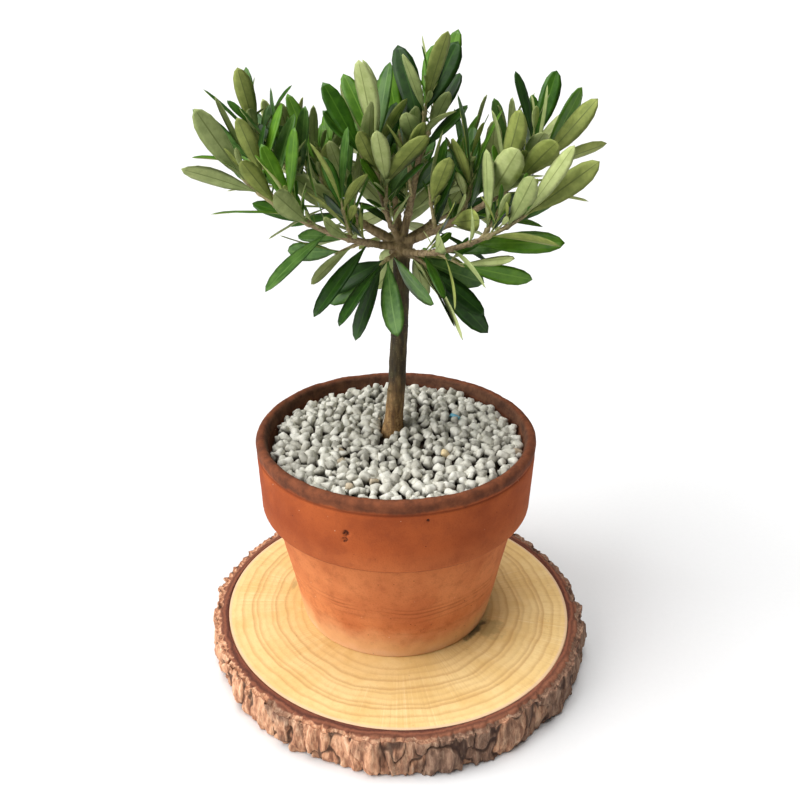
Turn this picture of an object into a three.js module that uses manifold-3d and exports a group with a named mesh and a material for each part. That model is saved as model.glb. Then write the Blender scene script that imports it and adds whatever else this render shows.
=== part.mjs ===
// A young olive tree in a clay pot that stands on a slice of log.
// Millimetres, +Z up. The origin is under the pot's axis, in the slice's flat underside. -Y is the front.

import * as THREE from 'three';
import { mergeVertices } from 'three/addons/utils/BufferGeometryUtils.js';
import Module from 'manifold-3d';

const wasm = await Module();
wasm.setup();

const { PI, abs, atan2, ceil, cos, exp, floor, hypot, max, min, round, sign, sin, sqrt } = Math;
const radians = THREE.MathUtils.degToRad;
const up = new THREE.Vector3(0, 0, 1);
const right = new THREE.Vector3(1, 0, 0);
const tiny = 1e-6;
const weld = 1e-4;

// Driving sizes
const clearance = 0.3;

const slice = {
  thickness: 22,
  centreX: 0.9,
  centreY: -7,
  radius: 97.6,
  oval: 1.7,
  ovalTurn: 38,
  lobe: 0.6,
  lobeTurn: -32,
  barkWidth: 7.4,
  barkBulge: 1.6,
  bulgeFrom: 0.25,
  bulgeTo: 0.7,
  ridges: 13,
  ridgeDepth: 1.1,
  sectors: 60,
};

const pot = {
  height: 111,
  rimRadius: 75,
  bandHeight: 41.7,
  bandFootRadius: 73.7,
  bodyTopRadius: 67.5,
  footRadius: 54.4,
  rimInside: 69.4,
  floorInside: 46,
  floor: 8,
  lip: 2.7,
  edge: 1.2,
  sectors: 40,
};

const ground = {
  belowRim: 11,
  hollowDepth: 3.2,
  stoneWidth: 6.3,
  stoneRise: 3.5,
  unevenRise: 0.8,
  scatter: 1.1,
  bareX: -7,
  bareY: -0.5,
  bareRadius: 3.5,
};

const trunk = {
  footX: -2,
  footY: 13,
  lean: 4.9,
  height: 109.1,
  footRadius: 4.9,
  forkRadius: 4.2,
  flare: 1.7,
  flareReach: 7,
  head: 1.7,
  headReach: 4.5,
  cap: 4.5,
  capShoulder: 0.7,
  capWidth: 0.72,
  rings: 16,
  sides: 10,
  margin: 1.5,
};

// How far the crown reaches: round the trunk, and above and below its fork.
const crown = { radius: 109, rise: 101, fall: 61 };

const twig = {
  tipRadius: 0.8,
  sideRadius: 0.9,
  sideTip: 0.6,
  step: 5,
  spacing: 8,
  margin: 0.9,
  boughSides: 6,
  stemSides: 4,
  sideSides: 3,
};

const leaf = {
  size: 42,
  sideSize: 0.92,
  bend: 0.35,
  raise: 0.05,
  keel: 0.45,
  stalk: 0.3,
  margin: 0.8,
  skyward: 0.25,
  stations: [
    { at: 0.1, wide: 0.3 },
    { at: 0.4, wide: 0.92 },
    { at: 0.8, wide: 0.8 },
    { at: 1, wide: 0 },
  ],
};

// How leaves stand on a shoot, each a least and a most that a seeded draw falls between: turns in degrees,
// gaps in millimetres, lengths and lifts as shares of a leaf. The lift runs from the shoot's foot to its tip.
const pairs = { open: [34, 60], roll: [-30, 30], sag: [0, 0.16], wide: [0.22, 0.31] };
const endPair = { open: [12, 26], roll: [-20, 20], sag: [0, 0.1], wide: [0.21, 0.3], long: [0.75, 1.05] };
const habits = {
  stem: {
    first: 2, spin: [-18, 18], long: [0.76, 1.16], taper: 0.12, gap: [8, 11], lift: [-0.35, 0.6], endLift: 0.4,
  },
  side: {
    first: 6, spin: [-18, 18], long: [0.76, 1.16], taper: 0.12, gap: [8, 11], lift: [0.45, 0.45], endLift: 0.4,
  },
  hanging: {
    first: 7.5, spin: [-25, 25], long: [0.85, 1.1], taper: 0, gap: [4.5, 6.5], lift: [-0.55, -0.55], endLift: -0.6,
  },
};
const endRoom = 2;
const endSink = 0.8;
const seedStep = 7919;

const potFoot = slice.thickness;
const potRim = potFoot + pot.height;
const soilTop = potRim - ground.belowRim;
const forkHeight = soilTop + trunk.height;

// A shoot sets off at an azimuth and a rise in degrees, and turns and lifts over its length.
// A limb leaves the fork `drop` below its centre, is a bare bough for `bare` and leafy from there.
const shoot = (azimuth, rise, turn, lift, length, more) => ({ azimuth, rise, turn, lift, length, ...more });

const limbs = {
  left_low: shoot(-140, 10, -56, 30, 88, {
    drop: 1, bare: 18, radius: 2.1, seed: 59,
    sides: [
      shoot(-150, 62, 0, 20, 20, { at: 28 }),
      shoot(-172, -14, 0, -10, 14, { at: 22 }),
      shoot(-110, 30, 20, 25, 16, { at: 58 }),
      shoot(170, 55, 0, 20, 16, { at: 68 }),
    ],
  }),
  left_high: shoot(154, 20, 34, 14, 86, {
    drop: 0, bare: 20, radius: 2.3, seed: 92,
    sides: [
      shoot(180, 72, 0, 5, 20, { at: 76 }),
      shoot(120, 45, 20, 20, 24, { at: 40 }),
      shoot(-150, 40, 0, 25, 20, { at: 54 }),
      shoot(150, 62, 0, 15, 16, { at: 25 }),
    ],
  }),
  left_up: shoot(-143, 56, -10, 36, 52, {
    drop: 0, bare: 10, radius: 1.7, seed: 70,
    sides: [
      shoot(190, 45, 0, 25, 16, { at: 36 }),
      shoot(-80, 50, 0, 25, 14, { at: 22 }),
    ],
  }),
  right_high: shoot(-38, 25, 50, 14, 82, {
    drop: 0, bare: 20, radius: 2.2, seed: 40,
    sides: [
      shoot(-110, 65, -30, 15, 22, { at: 22 }),
      shoot(40, 55, 0, 25, 20, { at: 36 }),
      shoot(-40, 45, 0, 25, 18, { at: 50 }),
      shoot(30, 58, 0, 15, 20, { at: 68 }),
    ],
  }),
  right_low: shoot(-70, 6, 70, 30, 80, {
    drop: 3, bare: 20, radius: 1.9, seed: 22,
    sides: [
      shoot(-20, -15, 0, -10, 14, { at: 30 }),
      shoot(-50, 25, 0, 25, 16, { at: 46 }),
      shoot(40, 35, 0, 25, 18, { at: 56 }),
    ],
  }),
  leader: shoot(20, 76, -60, 8, 68, {
    drop: 0, bare: 14, radius: 2.2, seed: 21, size: 1.1,
    sides: [
      shoot(-100, 45, 0, 30, 20, { at: 24 }),
      shoot(160, 55, 0, 25, 22, { at: 34 }),
      shoot(50, 50, 0, 25, 24, { at: 42 }),
    ],
  }),
  back_left: shoot(98, 50, 30, 34, 62, {
    drop: 1, bare: 14, radius: 2, seed: 49,
    sides: [
      shoot(70, 30, 0, 30, 20, { at: 28 }),
      shoot(160, 40, 0, 30, 20, { at: 36 }),
    ],
  }),
  back_right: shoot(42, 18, -26, 14, 82, {
    drop: 0, bare: 20, radius: 2.2, seed: 58,
    sides: [
      shoot(40, 70, 30, 20, 18, { at: 30 }),
      shoot(80, 45, 0, 30, 22, { at: 44 }),
      shoot(-10, 50, 0, 25, 18, { at: 60 }),
    ],
  }),
  back_low: shoot(92, 8, 14, 30, 88, {
    drop: 3, bare: 20, radius: 2, seed: 61,
    sides: [
      shoot(50, 30, 0, 30, 20, { at: 34 }),
      shoot(135, 50, 0, 30, 20, { at: 46 }),
      shoot(85, 55, 0, 20, 18, { at: 58 }),
      shoot(85, 70, 0, 15, 16, { at: 24 }),
    ],
  }),
  back_side: shoot(138, 12, 16, 28, 84, {
    drop: 2, bare: 20, radius: 2, seed: 14,
    sides: [
      shoot(175, 40, 0, 30, 18, { at: 38 }),
      shoot(90, 55, 0, 30, 20, { at: 50 }),
    ],
  }),
  hang_left: shoot(-120, 4, -10, -20, 17, { drop: 4, hangs: true, radius: 1.3, seed: 89, size: 1.08 }),
  hang_right: shoot(-50, 2, 10, -30, 22, { drop: 4, hangs: true, radius: 1.3, seed: 45, size: 1.05 }),
  hang_back: shoot(64, -2, 10, -20, 20, { drop: 5, hangs: true, radius: 1.3, seed: 97 }),
};

// Solids

function reshape(geometry, move) {
  const points = geometry.attributes.position;
  const point = new THREE.Vector3();
  for (let i = 0; i < points.count; i += 1) {
    point.fromBufferAttribute(points, i);
    move(point);
    points.setXYZ(i, point.x, point.y, point.z);
  }
  return geometry;
}

function solidOf(geometry) {
  geometry.deleteAttribute('normal');
  geometry.deleteAttribute('uv');
  const merged = mergeVertices(geometry, weld);
  const corners = merged.index.array;
  const triangles = [];
  for (let i = 0; i < corners.length; i += 3) {
    const [a, b, c] = corners.subarray(i, i + 3);
    if (a !== b && b !== c && c !== a) triangles.push(a, b, c);
  }
  return new wasm.Manifold(new wasm.Mesh({
    numProp: 3,
    vertProperties: Float32Array.from(merged.attributes.position.array),
    triVerts: Uint32Array.from(triangles),
  }));
}

function geometryOf(solid) {
  const { vertProperties, triVerts } = solid.getMesh();
  const geometry = new THREE.BufferGeometry();
  geometry.setAttribute('position', new THREE.BufferAttribute(vertProperties, 3));
  geometry.setIndex(new THREE.BufferAttribute(triVerts, 1));
  geometry.computeVertexNormals();
  return geometry;
}

// A profile of radius and height, turned about +Z.
function turned(profile, sectors) {
  return new THREE.LatheGeometry(profile, sectors).rotateX(PI / 2);
}

const profileOf = (pairs) => pairs.map(([radius, height]) => new THREE.Vector2(radius, height));

// Slice of log

const swell = (angle) => slice.oval * cos(2 * (angle + radians(slice.ovalTurn)))
  + slice.lobe * cos(3 * (angle + radians(slice.lobeTurn)));

function sliceRing(profile, ridge) {
  const grow = (point) => {
    const radius = hypot(point.x, point.y);
    if (radius === 0) return;
    const angle = atan2(point.y, point.x);
    const ridged = radius > slice.radius + slice.barkWidth / 2 ? ridge * cos(slice.ridges * angle) : 0;
    const scale = (radius + swell(angle) + ridged) / radius;
    point.set(point.x * scale, point.y * scale, point.z);
  };
  const geometry = reshape(turned(profile, slice.sectors), grow);
  return solidOf(geometry.translate(slice.centreX, slice.centreY, 0));
}

function makeWood() {
  const { radius, thickness } = slice;
  return sliceRing(profileOf([[0, 0], [radius, 0], [radius, thickness], [0, thickness]]), 0);
}

function makeBark() {
  const { thickness, barkWidth, barkBulge, bulgeFrom, bulgeTo, ridgeDepth } = slice;
  const inside = slice.radius + clearance;
  const outside = slice.radius + barkWidth;
  return sliceRing(profileOf([
    [inside, 0],
    [outside, 0],
    [outside + barkBulge, thickness * bulgeFrom],
    [outside + barkBulge, thickness * bulgeTo],
    [outside, thickness],
    [inside, thickness],
    [inside, 0],
  ]), ridgeDepth);
}

// Pot and what fills it

function makePot() {
  const { lip, edge } = pot;
  const bandFoot = potRim - pot.bandHeight;
  const outline = new THREE.Path();
  outline.moveTo(0, potFoot);
  outline.lineTo(pot.footRadius - edge, potFoot);
  outline.lineTo(pot.footRadius, potFoot + edge);
  outline.lineTo(pot.bodyTopRadius, bandFoot);
  outline.lineTo(pot.bandFootRadius - edge, bandFoot);
  outline.lineTo(pot.bandFootRadius, bandFoot + edge);
  outline.lineTo(pot.rimRadius, potRim - lip);
  outline.absarc(pot.rimRadius - lip, potRim - lip, lip, 0, PI / 2, false);
  outline.absarc(pot.rimInside + lip, potRim - lip, lip, PI / 2, PI, false);
  outline.lineTo(pot.floorInside, potFoot + pot.floor);
  outline.lineTo(0, potFoot + pot.floor);
  return solidOf(turned(outline.getPoints(2), pot.sectors));
}

function insideRadius(height) {
  const floor = potFoot + pot.floor;
  const share = (height - floor) / (potRim - pot.lip - floor);
  return pot.floorInside + (pot.rimInside - pot.floorInside) * share - clearance;
}

function makeSoil() {
  const floor = potFoot + pot.floor;
  const profile = [[0, floor], [insideRadius(floor), floor], [insideRadius(soilTop), soilTop], [0, soilTop]];
  return solidOf(turned(profileOf(profile), pot.sectors));
}

// A number from -1 to 1 that a place in the gravel's lattice settles.
function chance(i, j, salt) {
  const wave = sin(i * 12.9898 + j * 78.233 + salt * 37.719) * 43758.5453;
  return (wave - floor(wave)) * 2 - 1;
}

// A layer of gravel. Its top is a lattice of triangles, in which every third corner is the top of a stone and
// the others are the hollows round it. One spot in front of the trunk has no stones, and the trunk has its hole.
function makeGravel(trunkSpace) {
  const { hollowDepth, stoneWidth, stoneRise, unevenRise, scatter, bareX, bareY, bareRadius } = ground;
  const edge = insideRadius(soilTop);
  const step = stoneWidth / sqrt(3);
  const rowStep = step * sqrt(0.75);
  const hollow = soilTop + hollowDepth;
  const highest = hollow + stoneRise + unevenRise;
  const rows = ceil(edge / rowStep) + 1;
  const columns = ceil(edge / step + rows / 2) + 1;
  const heap = (point) => {
    const { x: i, y: j } = point;
    const isTop = point.z > 0;
    point.x = (i - j / 2) * step + scatter * chance(i, j, 1);
    point.y = j * rowStep + scatter * chance(i, j, 2);
    const isStone = (i + j) % 3 === 0 && hypot(point.x - bareX, point.y - bareY) > bareRadius;
    const rise = isStone ? stoneRise + unevenRise * chance(i, j, 3) : 0;
    point.z = isTop ? hollow + rise : 0;
  };
  const lattice = new THREE.BoxGeometry(2 * columns, 2 * rows, 1, 2 * columns, 2 * rows, 1);
  const layer = turned(profileOf([[0, soilTop], [edge, soilTop], [edge, highest], [0, highest]]), pot.sectors);
  return solidOf(layer).intersect(solidOf(reshape(lattice, heap))).subtract(trunkSpace);
}

// Trunk

function trunkCentre(height) {
  const share = min((height - soilTop) / trunk.height, 1);
  return new THREE.Vector3(trunk.footX + trunk.lean * share * (2 - share), trunk.footY, height);
}

function trunkRadius(height) {
  const above = height - soilTop;
  const taper = trunk.footRadius + ((trunk.forkRadius - trunk.footRadius) * above) / trunk.height;
  const flare = trunk.flare * exp(-above / trunk.flareReach);
  const head = trunk.head * exp(-(((height - forkHeight) / trunk.headReach) ** 2));
  return taper + flare + head;
}

function trunkRings() {
  return Array.from({ length: trunk.rings + 1 }, (_, ring) => {
    const height = soilTop + (trunk.height * ring) / trunk.rings;
    return { point: trunkCentre(height), radius: trunkRadius(height) };
  });
}

function makeTrunk(extra) {
  const profile = [[0, soilTop]];
  for (const { point, radius } of trunkRings()) profile.push([radius + extra, point.z]);
  const { cap, capShoulder, capWidth } = trunk;
  profile.push([trunkRadius(forkHeight) * capWidth + extra, forkHeight + cap * capShoulder + extra]);
  profile.push([0, forkHeight + cap + extra]);
  const lean = (point) => {
    point.x += trunkCentre(point.z).x;
    point.y += trunk.footY;
  };
  return solidOf(reshape(turned(profileOf(profile), trunk.sides), lean));
}

// Growth: a seeded draw, paths, and the triangle shells that tell whether two pieces cross

class Draw {
  constructor(seed) {
    this.state = seed;
  }

  span(low, high) {
    this.state = (this.state * 16807) % 2147483647;
    return low + ((high - low) * this.state) / 2147483647;
  }
}

function heading(azimuth, rise) {
  const level = cos(radians(rise));
  return new THREE.Vector3(level * cos(radians(azimuth)), level * sin(radians(azimuth)), sin(radians(rise)));
}

function walk(start, { azimuth, rise, turn, lift, length }) {
  const count = max(2, round(length / twig.step));
  const path = [start.clone()];
  for (let i = 0; i < count; i += 1) {
    const share = (i + 0.5) / count;
    const direction = heading(azimuth + turn * share, rise + lift * share);
    path.push(path[i].clone().addScaledVector(direction, length / count));
  }
  return path;
}

function alongPath(path, distance) {
  let left = distance;
  for (let i = 1; i < path.length; i += 1) {
    const step = path[i].distanceTo(path[i - 1]);
    if (left <= step + tiny || i === path.length - 1) {
      const direction = path[i].clone().sub(path[i - 1]).divideScalar(step);
      return { point: path[i - 1].clone().addScaledVector(direction, min(left, step)), direction };
    }
    left -= step;
  }
  return null;
}

function pathLength(path) {
  let length = 0;
  for (let i = 1; i < path.length; i += 1) length += path[i].distanceTo(path[i - 1]);
  return length;
}

// The rings of a tapering limb between two distances along its path, at least a spacing apart.
function limbRings(path, radius, tipRadius, from, to, spacing = 1) {
  const length = pathLength(path);
  const radiusAt = (distance) => radius + ((tipRadius - radius) * distance) / length;
  const rings = [{ point: alongPath(path, from).point, radius: radiusAt(from) }];
  let distance = 0;
  let latest = from;
  for (let i = 1; i < path.length; i += 1) {
    distance += path[i].distanceTo(path[i - 1]);
    if (distance > latest + spacing && distance < to - max(1, spacing / 2)) {
      rings.push({ point: path[i], radius: radiusAt(distance) });
      latest = distance;
    }
  }
  rings.push({ point: alongPath(path, to).point, radius: radiusAt(to) });
  return rings;
}

const steepFrom = 0.9;
const steep = (direction) => abs(direction.z) >= steepFrom;
const sideOf = (direction, reference) => new THREE.Vector3().crossVectors(direction, reference).normalize();

function ringFrames(rings) {
  const last = rings.length - 1;
  const first = rings[1].point.clone().sub(rings[0].point).normalize();
  const reference = steep(first) ? right : up;
  return rings.map((ring, i) => {
    const ahead = rings[min(i + 1, last)].point;
    const behind = rings[max(i - 1, 0)].point;
    const direction = ahead.clone().sub(behind).normalize();
    const side = sideOf(direction, reference);
    return { ...ring, side, other: new THREE.Vector3().crossVectors(side, direction) };
  });
}

function limbSolid(rings, sides) {
  const frames = ringFrames(rings);
  const spans = frames.length - 1;
  const bend = (point) => {
    const { point: centre, radius, side, other } = frames[round((point.y + 0.5) * spans)];
    const across = point.x * radius;
    const along = point.z * radius;
    point.copy(centre).addScaledVector(side, across).addScaledVector(other, along);
  };
  return solidOf(reshape(new THREE.CylinderGeometry(1, 1, 1, sides, spans), bend));
}

function shellOf(points, faces) {
  const edges = new Map();
  for (const face of faces) {
    for (let i = 0; i < 3; i += 1) {
      const ends = [face[i], face[(i + 1) % 3]].sort((a, b) => a - b);
      edges.set(ends.join(), ends);
    }
  }
  return { points, faces, edges: [...edges.values()], box: new THREE.Box3().setFromPoints(points) };
}

// Rows of corners, joined into bands of triangles, that close round or stay open like a blade.
function bandFaces(rows, across, closed) {
  const faces = [];
  for (let row = 0; row < rows - 1; row += 1) {
    for (let i = 0; i < (closed ? across : across - 1); i += 1) {
      const a = row * across + i;
      const b = row * across + ((i + 1) % across);
      faces.push([a, b, b + across], [a, b + across, a + across]);
    }
  }
  return faces;
}

const shellSides = 6;

function limbShell(rings, margin) {
  const points = [];
  for (const { point, radius, side, other } of ringFrames(rings)) {
    const reach = radius + margin;
    for (let corner = 0; corner < shellSides; corner += 1) {
      const angle = (2 * PI * corner) / shellSides;
      const outward = side.clone().multiplyScalar(cos(angle)).addScaledVector(other, sin(angle));
      points.push(point.clone().addScaledVector(outward, reach));
    }
  }
  return shellOf(points, bandFaces(rings.length, shellSides, true));
}

// The middle of a leaf's blade at a share of its length: it bends back from its upper face.
function bladePoint({ root, direction, face, length, sag }, share) {
  return root.clone()
    .addScaledVector(direction, length * share * (1 - leaf.bend * sag * share))
    .addScaledVector(face, -length * sag * share * share);
}

function bladeShell(blade) {
  const side = new THREE.Vector3().crossVectors(blade.direction, blade.face);
  const points = [];
  for (const { at, wide } of leaf.stations) {
    const middle = bladePoint(blade, at);
    const half = (blade.width / 2) * wide;
    const raise = leaf.raise * blade.width * wide;
    points.push(
      middle.clone().addScaledVector(side, -half).addScaledVector(blade.face, raise),
      middle,
      middle.clone().addScaledVector(side, half).addScaledVector(blade.face, raise),
    );
  }
  return shellOf(points, bandFaces(leaf.stations.length, 3, false));
}

// The same blade with a margin all round, to keep it clear of other pieces.
function bladeSpace(blade) {
  const { margin, keel, stations } = leaf;
  const side = new THREE.Vector3().crossVectors(blade.direction, blade.face);
  const points = [];
  for (const { at, wide } of stations) {
    const middle = bladePoint(blade, at);
    if (at === 1) middle.addScaledVector(blade.direction, margin);
    const half = (blade.width / 2) * wide + margin;
    const high = leaf.raise * blade.width * wide + margin;
    const low = -keel - margin;
    for (const [across, lift] of [[-half, low], [half, low], [half, high], [-half, high]]) {
      points.push(middle.clone().addScaledVector(side, across).addScaledVector(blade.face, lift));
    }
  }
  const faces = bandFaces(stations.length, 4, true);
  const end = (stations.length - 1) * 4;
  faces.push([end, end + 1, end + 2], [end, end + 2, end + 3]);
  return shellOf(points, faces);
}

const ray = new THREE.Ray();
const hit = new THREE.Vector3();

function edgePierces(shell, other) {
  return shell.edges.some(([from, to]) => {
    const start = shell.points[from];
    const length = start.distanceTo(shell.points[to]);
    ray.origin.copy(start);
    ray.direction.copy(shell.points[to]).sub(start).divideScalar(length);
    return other.faces.some(([a, b, c]) => {
      const met = ray.intersectTriangle(other.points[a], other.points[b], other.points[c], false, hit);
      return met !== null && start.distanceTo(hit) <= length;
    });
  });
}

const crosses = (shell, other) => shell.box.intersectsBox(other.box)
  && (edgePierces(shell, other) || edgePierces(other, shell));

// Pairs of leaves stand across each other along a shoot, and a closer pair ends it.
function leafBuds(path, size, habit, first, draw) {
  const length = pathLength(path);
  const drawn = ({ open, long, roll, sag, wide }) => ({
    open: draw.span(...open),
    length: size * draw.span(...long),
    roll: draw.span(...roll),
    sag: draw.span(...sag),
    wide: draw.span(...wide),
  });
  const buds = [];
  const [footLift, tipLift] = habit.lift;
  let quarter = draw.span(0, 180);
  let at = first;
  while (at < length - endRoom) {
    const share = at / length;
    for (const half of [0, 180]) {
      const spin = half + (habit === habits.hanging ? 0 : quarter) + draw.span(...habit.spin);
      const bud = { ...alongPath(path, at), spin, ...drawn({ ...pairs, long: habit.long }) };
      bud.length *= 1 - habit.taper * share;
      bud.lift = footLift + (tipLift - footLift) * share;
      buds.push(bud);
    }
    quarter += 90;
    at += draw.span(...habit.gap);
  }
  for (const half of [0, 180]) {
    const place = alongPath(path, length - endSink);
    buds.push({ ...place, spin: half + quarter, ...drawn(endPair), lift: habit.endLift });
  }
  return buds;
}

// A bud opened into a blade whose upper face turns to the shoot's tip and a little to the sky.
function bladeOf(bud, swing, scale) {
  const ahead = bud.direction;
  const side = sideOf(ahead, steep(ahead) ? right : up);
  const other = new THREE.Vector3().crossVectors(ahead, side);
  const outward = side.multiplyScalar(cos(radians(bud.spin))).addScaledVector(other, sin(radians(bud.spin)));
  const direction = ahead.clone()
    .multiplyScalar(cos(radians(bud.open)))
    .addScaledVector(outward, sin(radians(bud.open)))
    .addScaledVector(up, bud.lift)
    .normalize();
  if (swing !== 0) direction.addScaledVector(sideOf(direction, up), swing).normalize();
  const inner = ahead.clone().addScaledVector(direction, -ahead.dot(direction)).normalize();
  const skyward = up.clone().addScaledVector(direction, -direction.z);
  inner.addScaledVector(skyward, leaf.skyward).normalize();
  const across = new THREE.Vector3().crossVectors(direction, inner);
  const face = inner.multiplyScalar(cos(radians(bud.roll))).addScaledVector(across, sin(radians(bud.roll)));
  const length = bud.length * scale;
  return { root: bud.point, direction, face, length, width: length * bud.wide, sag: bud.sag };
}

function insideCrown(blade) {
  const tip = bladePoint(blade, 1);
  const rise = tip.z - forkHeight;
  return hypot(tip.x, tip.y - trunk.footY) < crown.radius && rise < crown.rise && rise > -crown.fall;
}

const isFree = (owner, shell, space, placed) => !placed.some((other) => (
  crosses(other.owner === owner ? shell : space, other.shell)));

// A leaf that touches something is swung aside or made smaller before it is skipped.
const tries = [[0, 1], [0.35, 1], [-0.35, 1], [0.6, 0.8], [-0.6, 0.8]];

function growBlades({ name, limb, stem, sides }, placed) {
  const draw = new Draw(limb.seed * seedStep);
  const size = leaf.size * (limb.size ?? 1);
  const habit = limb.hangs ? habits.hanging : habits.stem;
  const buds = leafBuds(stem, size, habit, (limb.bare ?? 0) + habit.first, draw);
  for (const side of sides) {
    buds.push(...leafBuds(side, size * leaf.sideSize, habits.side, habits.side.first, draw));
  }
  const blades = [];
  for (const bud of buds) {
    for (const [swing, scale] of tries) {
      const blade = bladeOf(bud, swing, scale);
      const shell = bladeShell(blade);
      if (insideCrown(blade) && isFree(name, shell, bladeSpace(blade), placed)) {
        placed.push({ owner: name, shell });
        blades.push(blade);
        break;
      }
    }
  }
  return blades;
}

// All limbs first, then their side shoots, then the leaves, each kept clear of what grew before it.
function growCrown() {
  const placed = [{ owner: 'trunk', shell: limbShell(trunkRings(), trunk.margin) }];
  const fork = trunkCentre(forkHeight);
  const grown = Object.entries(limbs).map(([name, limb]) => {
    const stem = walk(fork.clone().addScaledVector(up, -limb.drop), limb);
    const rings = limbRings(stem, limb.radius, twig.tipRadius, 0, limb.length);
    placed.push({ owner: name, shell: limbShell(rings, 0) });
    return { name, limb, stem, sides: [] };
  });
  for (const { name, limb, stem, sides } of grown) {
    for (const side of limb.sides ?? []) {
      const path = walk(alongPath(stem, side.at).point, side);
      const rings = limbRings(path, twig.sideRadius, twig.sideTip, twig.step, side.length);
      const shell = limbShell(rings, 0);
      if (isFree(name, shell, limbShell(rings, twig.margin), placed)) {
        placed.push({ owner: name, shell });
        sides.push(path);
      }
    }
  }
  return grown.map((part) => ({ ...part, blades: growBlades(part, placed) }));
}

// Boughs and masses of foliage

function leafSolid(blade) {
  const { stations, stalk, keel, raise } = leaf;
  const side = new THREE.Vector3().crossVectors(blade.face, blade.direction);
  const rows = [
    { at: 0, half: stalk, keel: stalk, raise: stalk / 2 },
    ...stations.slice(1).map(({ at, wide }) => ({
      at,
      half: (blade.width / 2) * wide,
      keel,
      raise: raise * blade.width * wide,
    })),
  ];
  const spans = rows.length - 1;
  const bend = (point) => {
    const row = rows[round((point.y + 0.5) * spans)];
    const edge = abs(point.x) > tiny ? sign(point.x) : 0;
    const under = edge === 0 && point.z > tiny ? -row.keel : 0;
    point.copy(bladePoint(blade, row.at))
      .addScaledVector(side, edge * row.half)
      .addScaledVector(blade.face, edge === 0 ? under : row.raise);
  };
  return solidOf(reshape(new THREE.CylinderGeometry(0, 1, 1, 3, spans), bend));
}

function makeBough({ limb, stem }, extra) {
  const rings = limbRings(stem, limb.radius, twig.tipRadius, 0, limb.bare);
  return limbSolid(rings.map(({ point, radius }) => ({ point, radius: radius + extra })), twig.boughSides);
}

function makeMass({ limb, stem, sides, blades }) {
  const from = limb.hangs ? 0 : limb.bare + clearance;
  const main = limbRings(stem, limb.radius, twig.tipRadius, from, limb.length, twig.spacing);
  const pieces = [limbSolid(main, twig.stemSides)];
  for (const side of sides) {
    const rings = limbRings(side, twig.sideRadius, twig.sideTip, 0, pathLength(side), twig.spacing);
    pieces.push(limbSolid(rings, twig.sideSides));
  }
  pieces.push(...blades.map(leafSolid));
  return pieces.reduce((mass, piece) => mass.add(piece));
}

function largestOf(solid) {
  return solid.decompose().sort((a, b) => b.volume() - a.volume())[0];
}

// Materials

const matt = (color, roughness) => new THREE.MeshStandardMaterial({ color, roughness, metalness: 0 });
const materials = {
  wood: matt('#e6c98e', 0.75),
  bark: matt('#8a6a50', 0.95),
  clay: matt('#b4643c', 0.85),
  soil: matt('#3c2e22', 1),
  gravel: matt('#d2d3cd', 0.9),
  stem: matt('#6b5a42', 0.9),
  leaf: matt('#4a7426', 0.5),
};

// The whole plant

const tree = new THREE.Group();
tree.name = 'potted_olive_tree';

function place(name, solid, material) {
  const mesh = new THREE.Mesh(geometryOf(solid), material);
  mesh.name = name;
  tree.add(mesh);
}

const trunkSpace = makeTrunk(clearance);
place('slice_wood', makeWood(), materials.wood);
place('slice_bark', makeBark(), materials.bark);
place('pot', makePot(), materials.clay);
place('soil', makeSoil(), materials.soil);
place('gravel', largestOf(makeGravel(trunkSpace)), materials.gravel);
place('trunk', makeTrunk(0), materials.stem);

const grown = growCrown();
let taken = trunkSpace;
for (const part of grown.filter(({ limb }) => !limb.hangs)) {
  place(`bough_${part.name}`, largestOf(makeBough(part, 0).subtract(taken)), materials.stem);
  taken = taken.add(makeBough(part, clearance));
}
for (const part of grown) {
  place(`foliage_${part.name}`, largestOf(makeMass(part).subtract(taken)), materials.leaf);
}

export default tree;
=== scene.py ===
import math
import bpy
import numpy as np
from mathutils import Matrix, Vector, noise


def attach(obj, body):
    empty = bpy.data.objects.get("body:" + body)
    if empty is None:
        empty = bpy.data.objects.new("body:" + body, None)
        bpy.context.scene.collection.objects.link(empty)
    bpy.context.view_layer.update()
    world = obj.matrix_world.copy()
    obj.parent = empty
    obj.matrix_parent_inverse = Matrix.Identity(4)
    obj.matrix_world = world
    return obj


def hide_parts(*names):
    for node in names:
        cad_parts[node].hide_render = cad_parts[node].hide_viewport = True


# A young olive tree in a clay pot on a slice of log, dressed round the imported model.
# Growth is reckoned in millimetres, as the tree's rule is, and becomes metres where a mesh is made.

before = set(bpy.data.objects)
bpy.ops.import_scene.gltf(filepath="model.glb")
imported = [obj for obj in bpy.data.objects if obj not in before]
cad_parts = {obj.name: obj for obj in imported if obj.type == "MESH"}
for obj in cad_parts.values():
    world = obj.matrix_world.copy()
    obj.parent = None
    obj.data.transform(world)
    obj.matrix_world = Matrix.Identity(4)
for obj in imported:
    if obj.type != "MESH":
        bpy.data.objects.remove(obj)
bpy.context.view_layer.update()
mm = 0.001
noise.seed_set(7)  # unset, the bent noise of the bark would follow the clock
print("model loaded")


# Finishes: a colour is red, green and blue as the eye sees them, 0 to 255

black = (0, 0, 0, 1)


def tint(colour):  # the colour made linear for the nodes
    parts = [value / 255 for value in colour]
    return tuple(v / 12.92 if v <= 0.04045 else ((v + 0.055) / 1.055) ** 2.4 for v in parts) + (1,)


class Wire:  # a node's output that can be reckoned with
    def __init__(self, book, socket):
        self.book = book
        self.socket = socket

    def math(self, operation, *values):
        return self.book.node("ShaderNodeMath", {"operation": operation}, enumerate(values))

    def __add__(self, other):
        return self.math("ADD", self, other)

    def __sub__(self, other):
        return self.math("SUBTRACT", self, other)

    def __rsub__(self, other):
        return self.math("SUBTRACT", other, self)

    def __mul__(self, other):
        return self.math("MULTIPLY", self, other)

    __radd__ = __add__
    __rmul__ = __mul__


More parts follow.
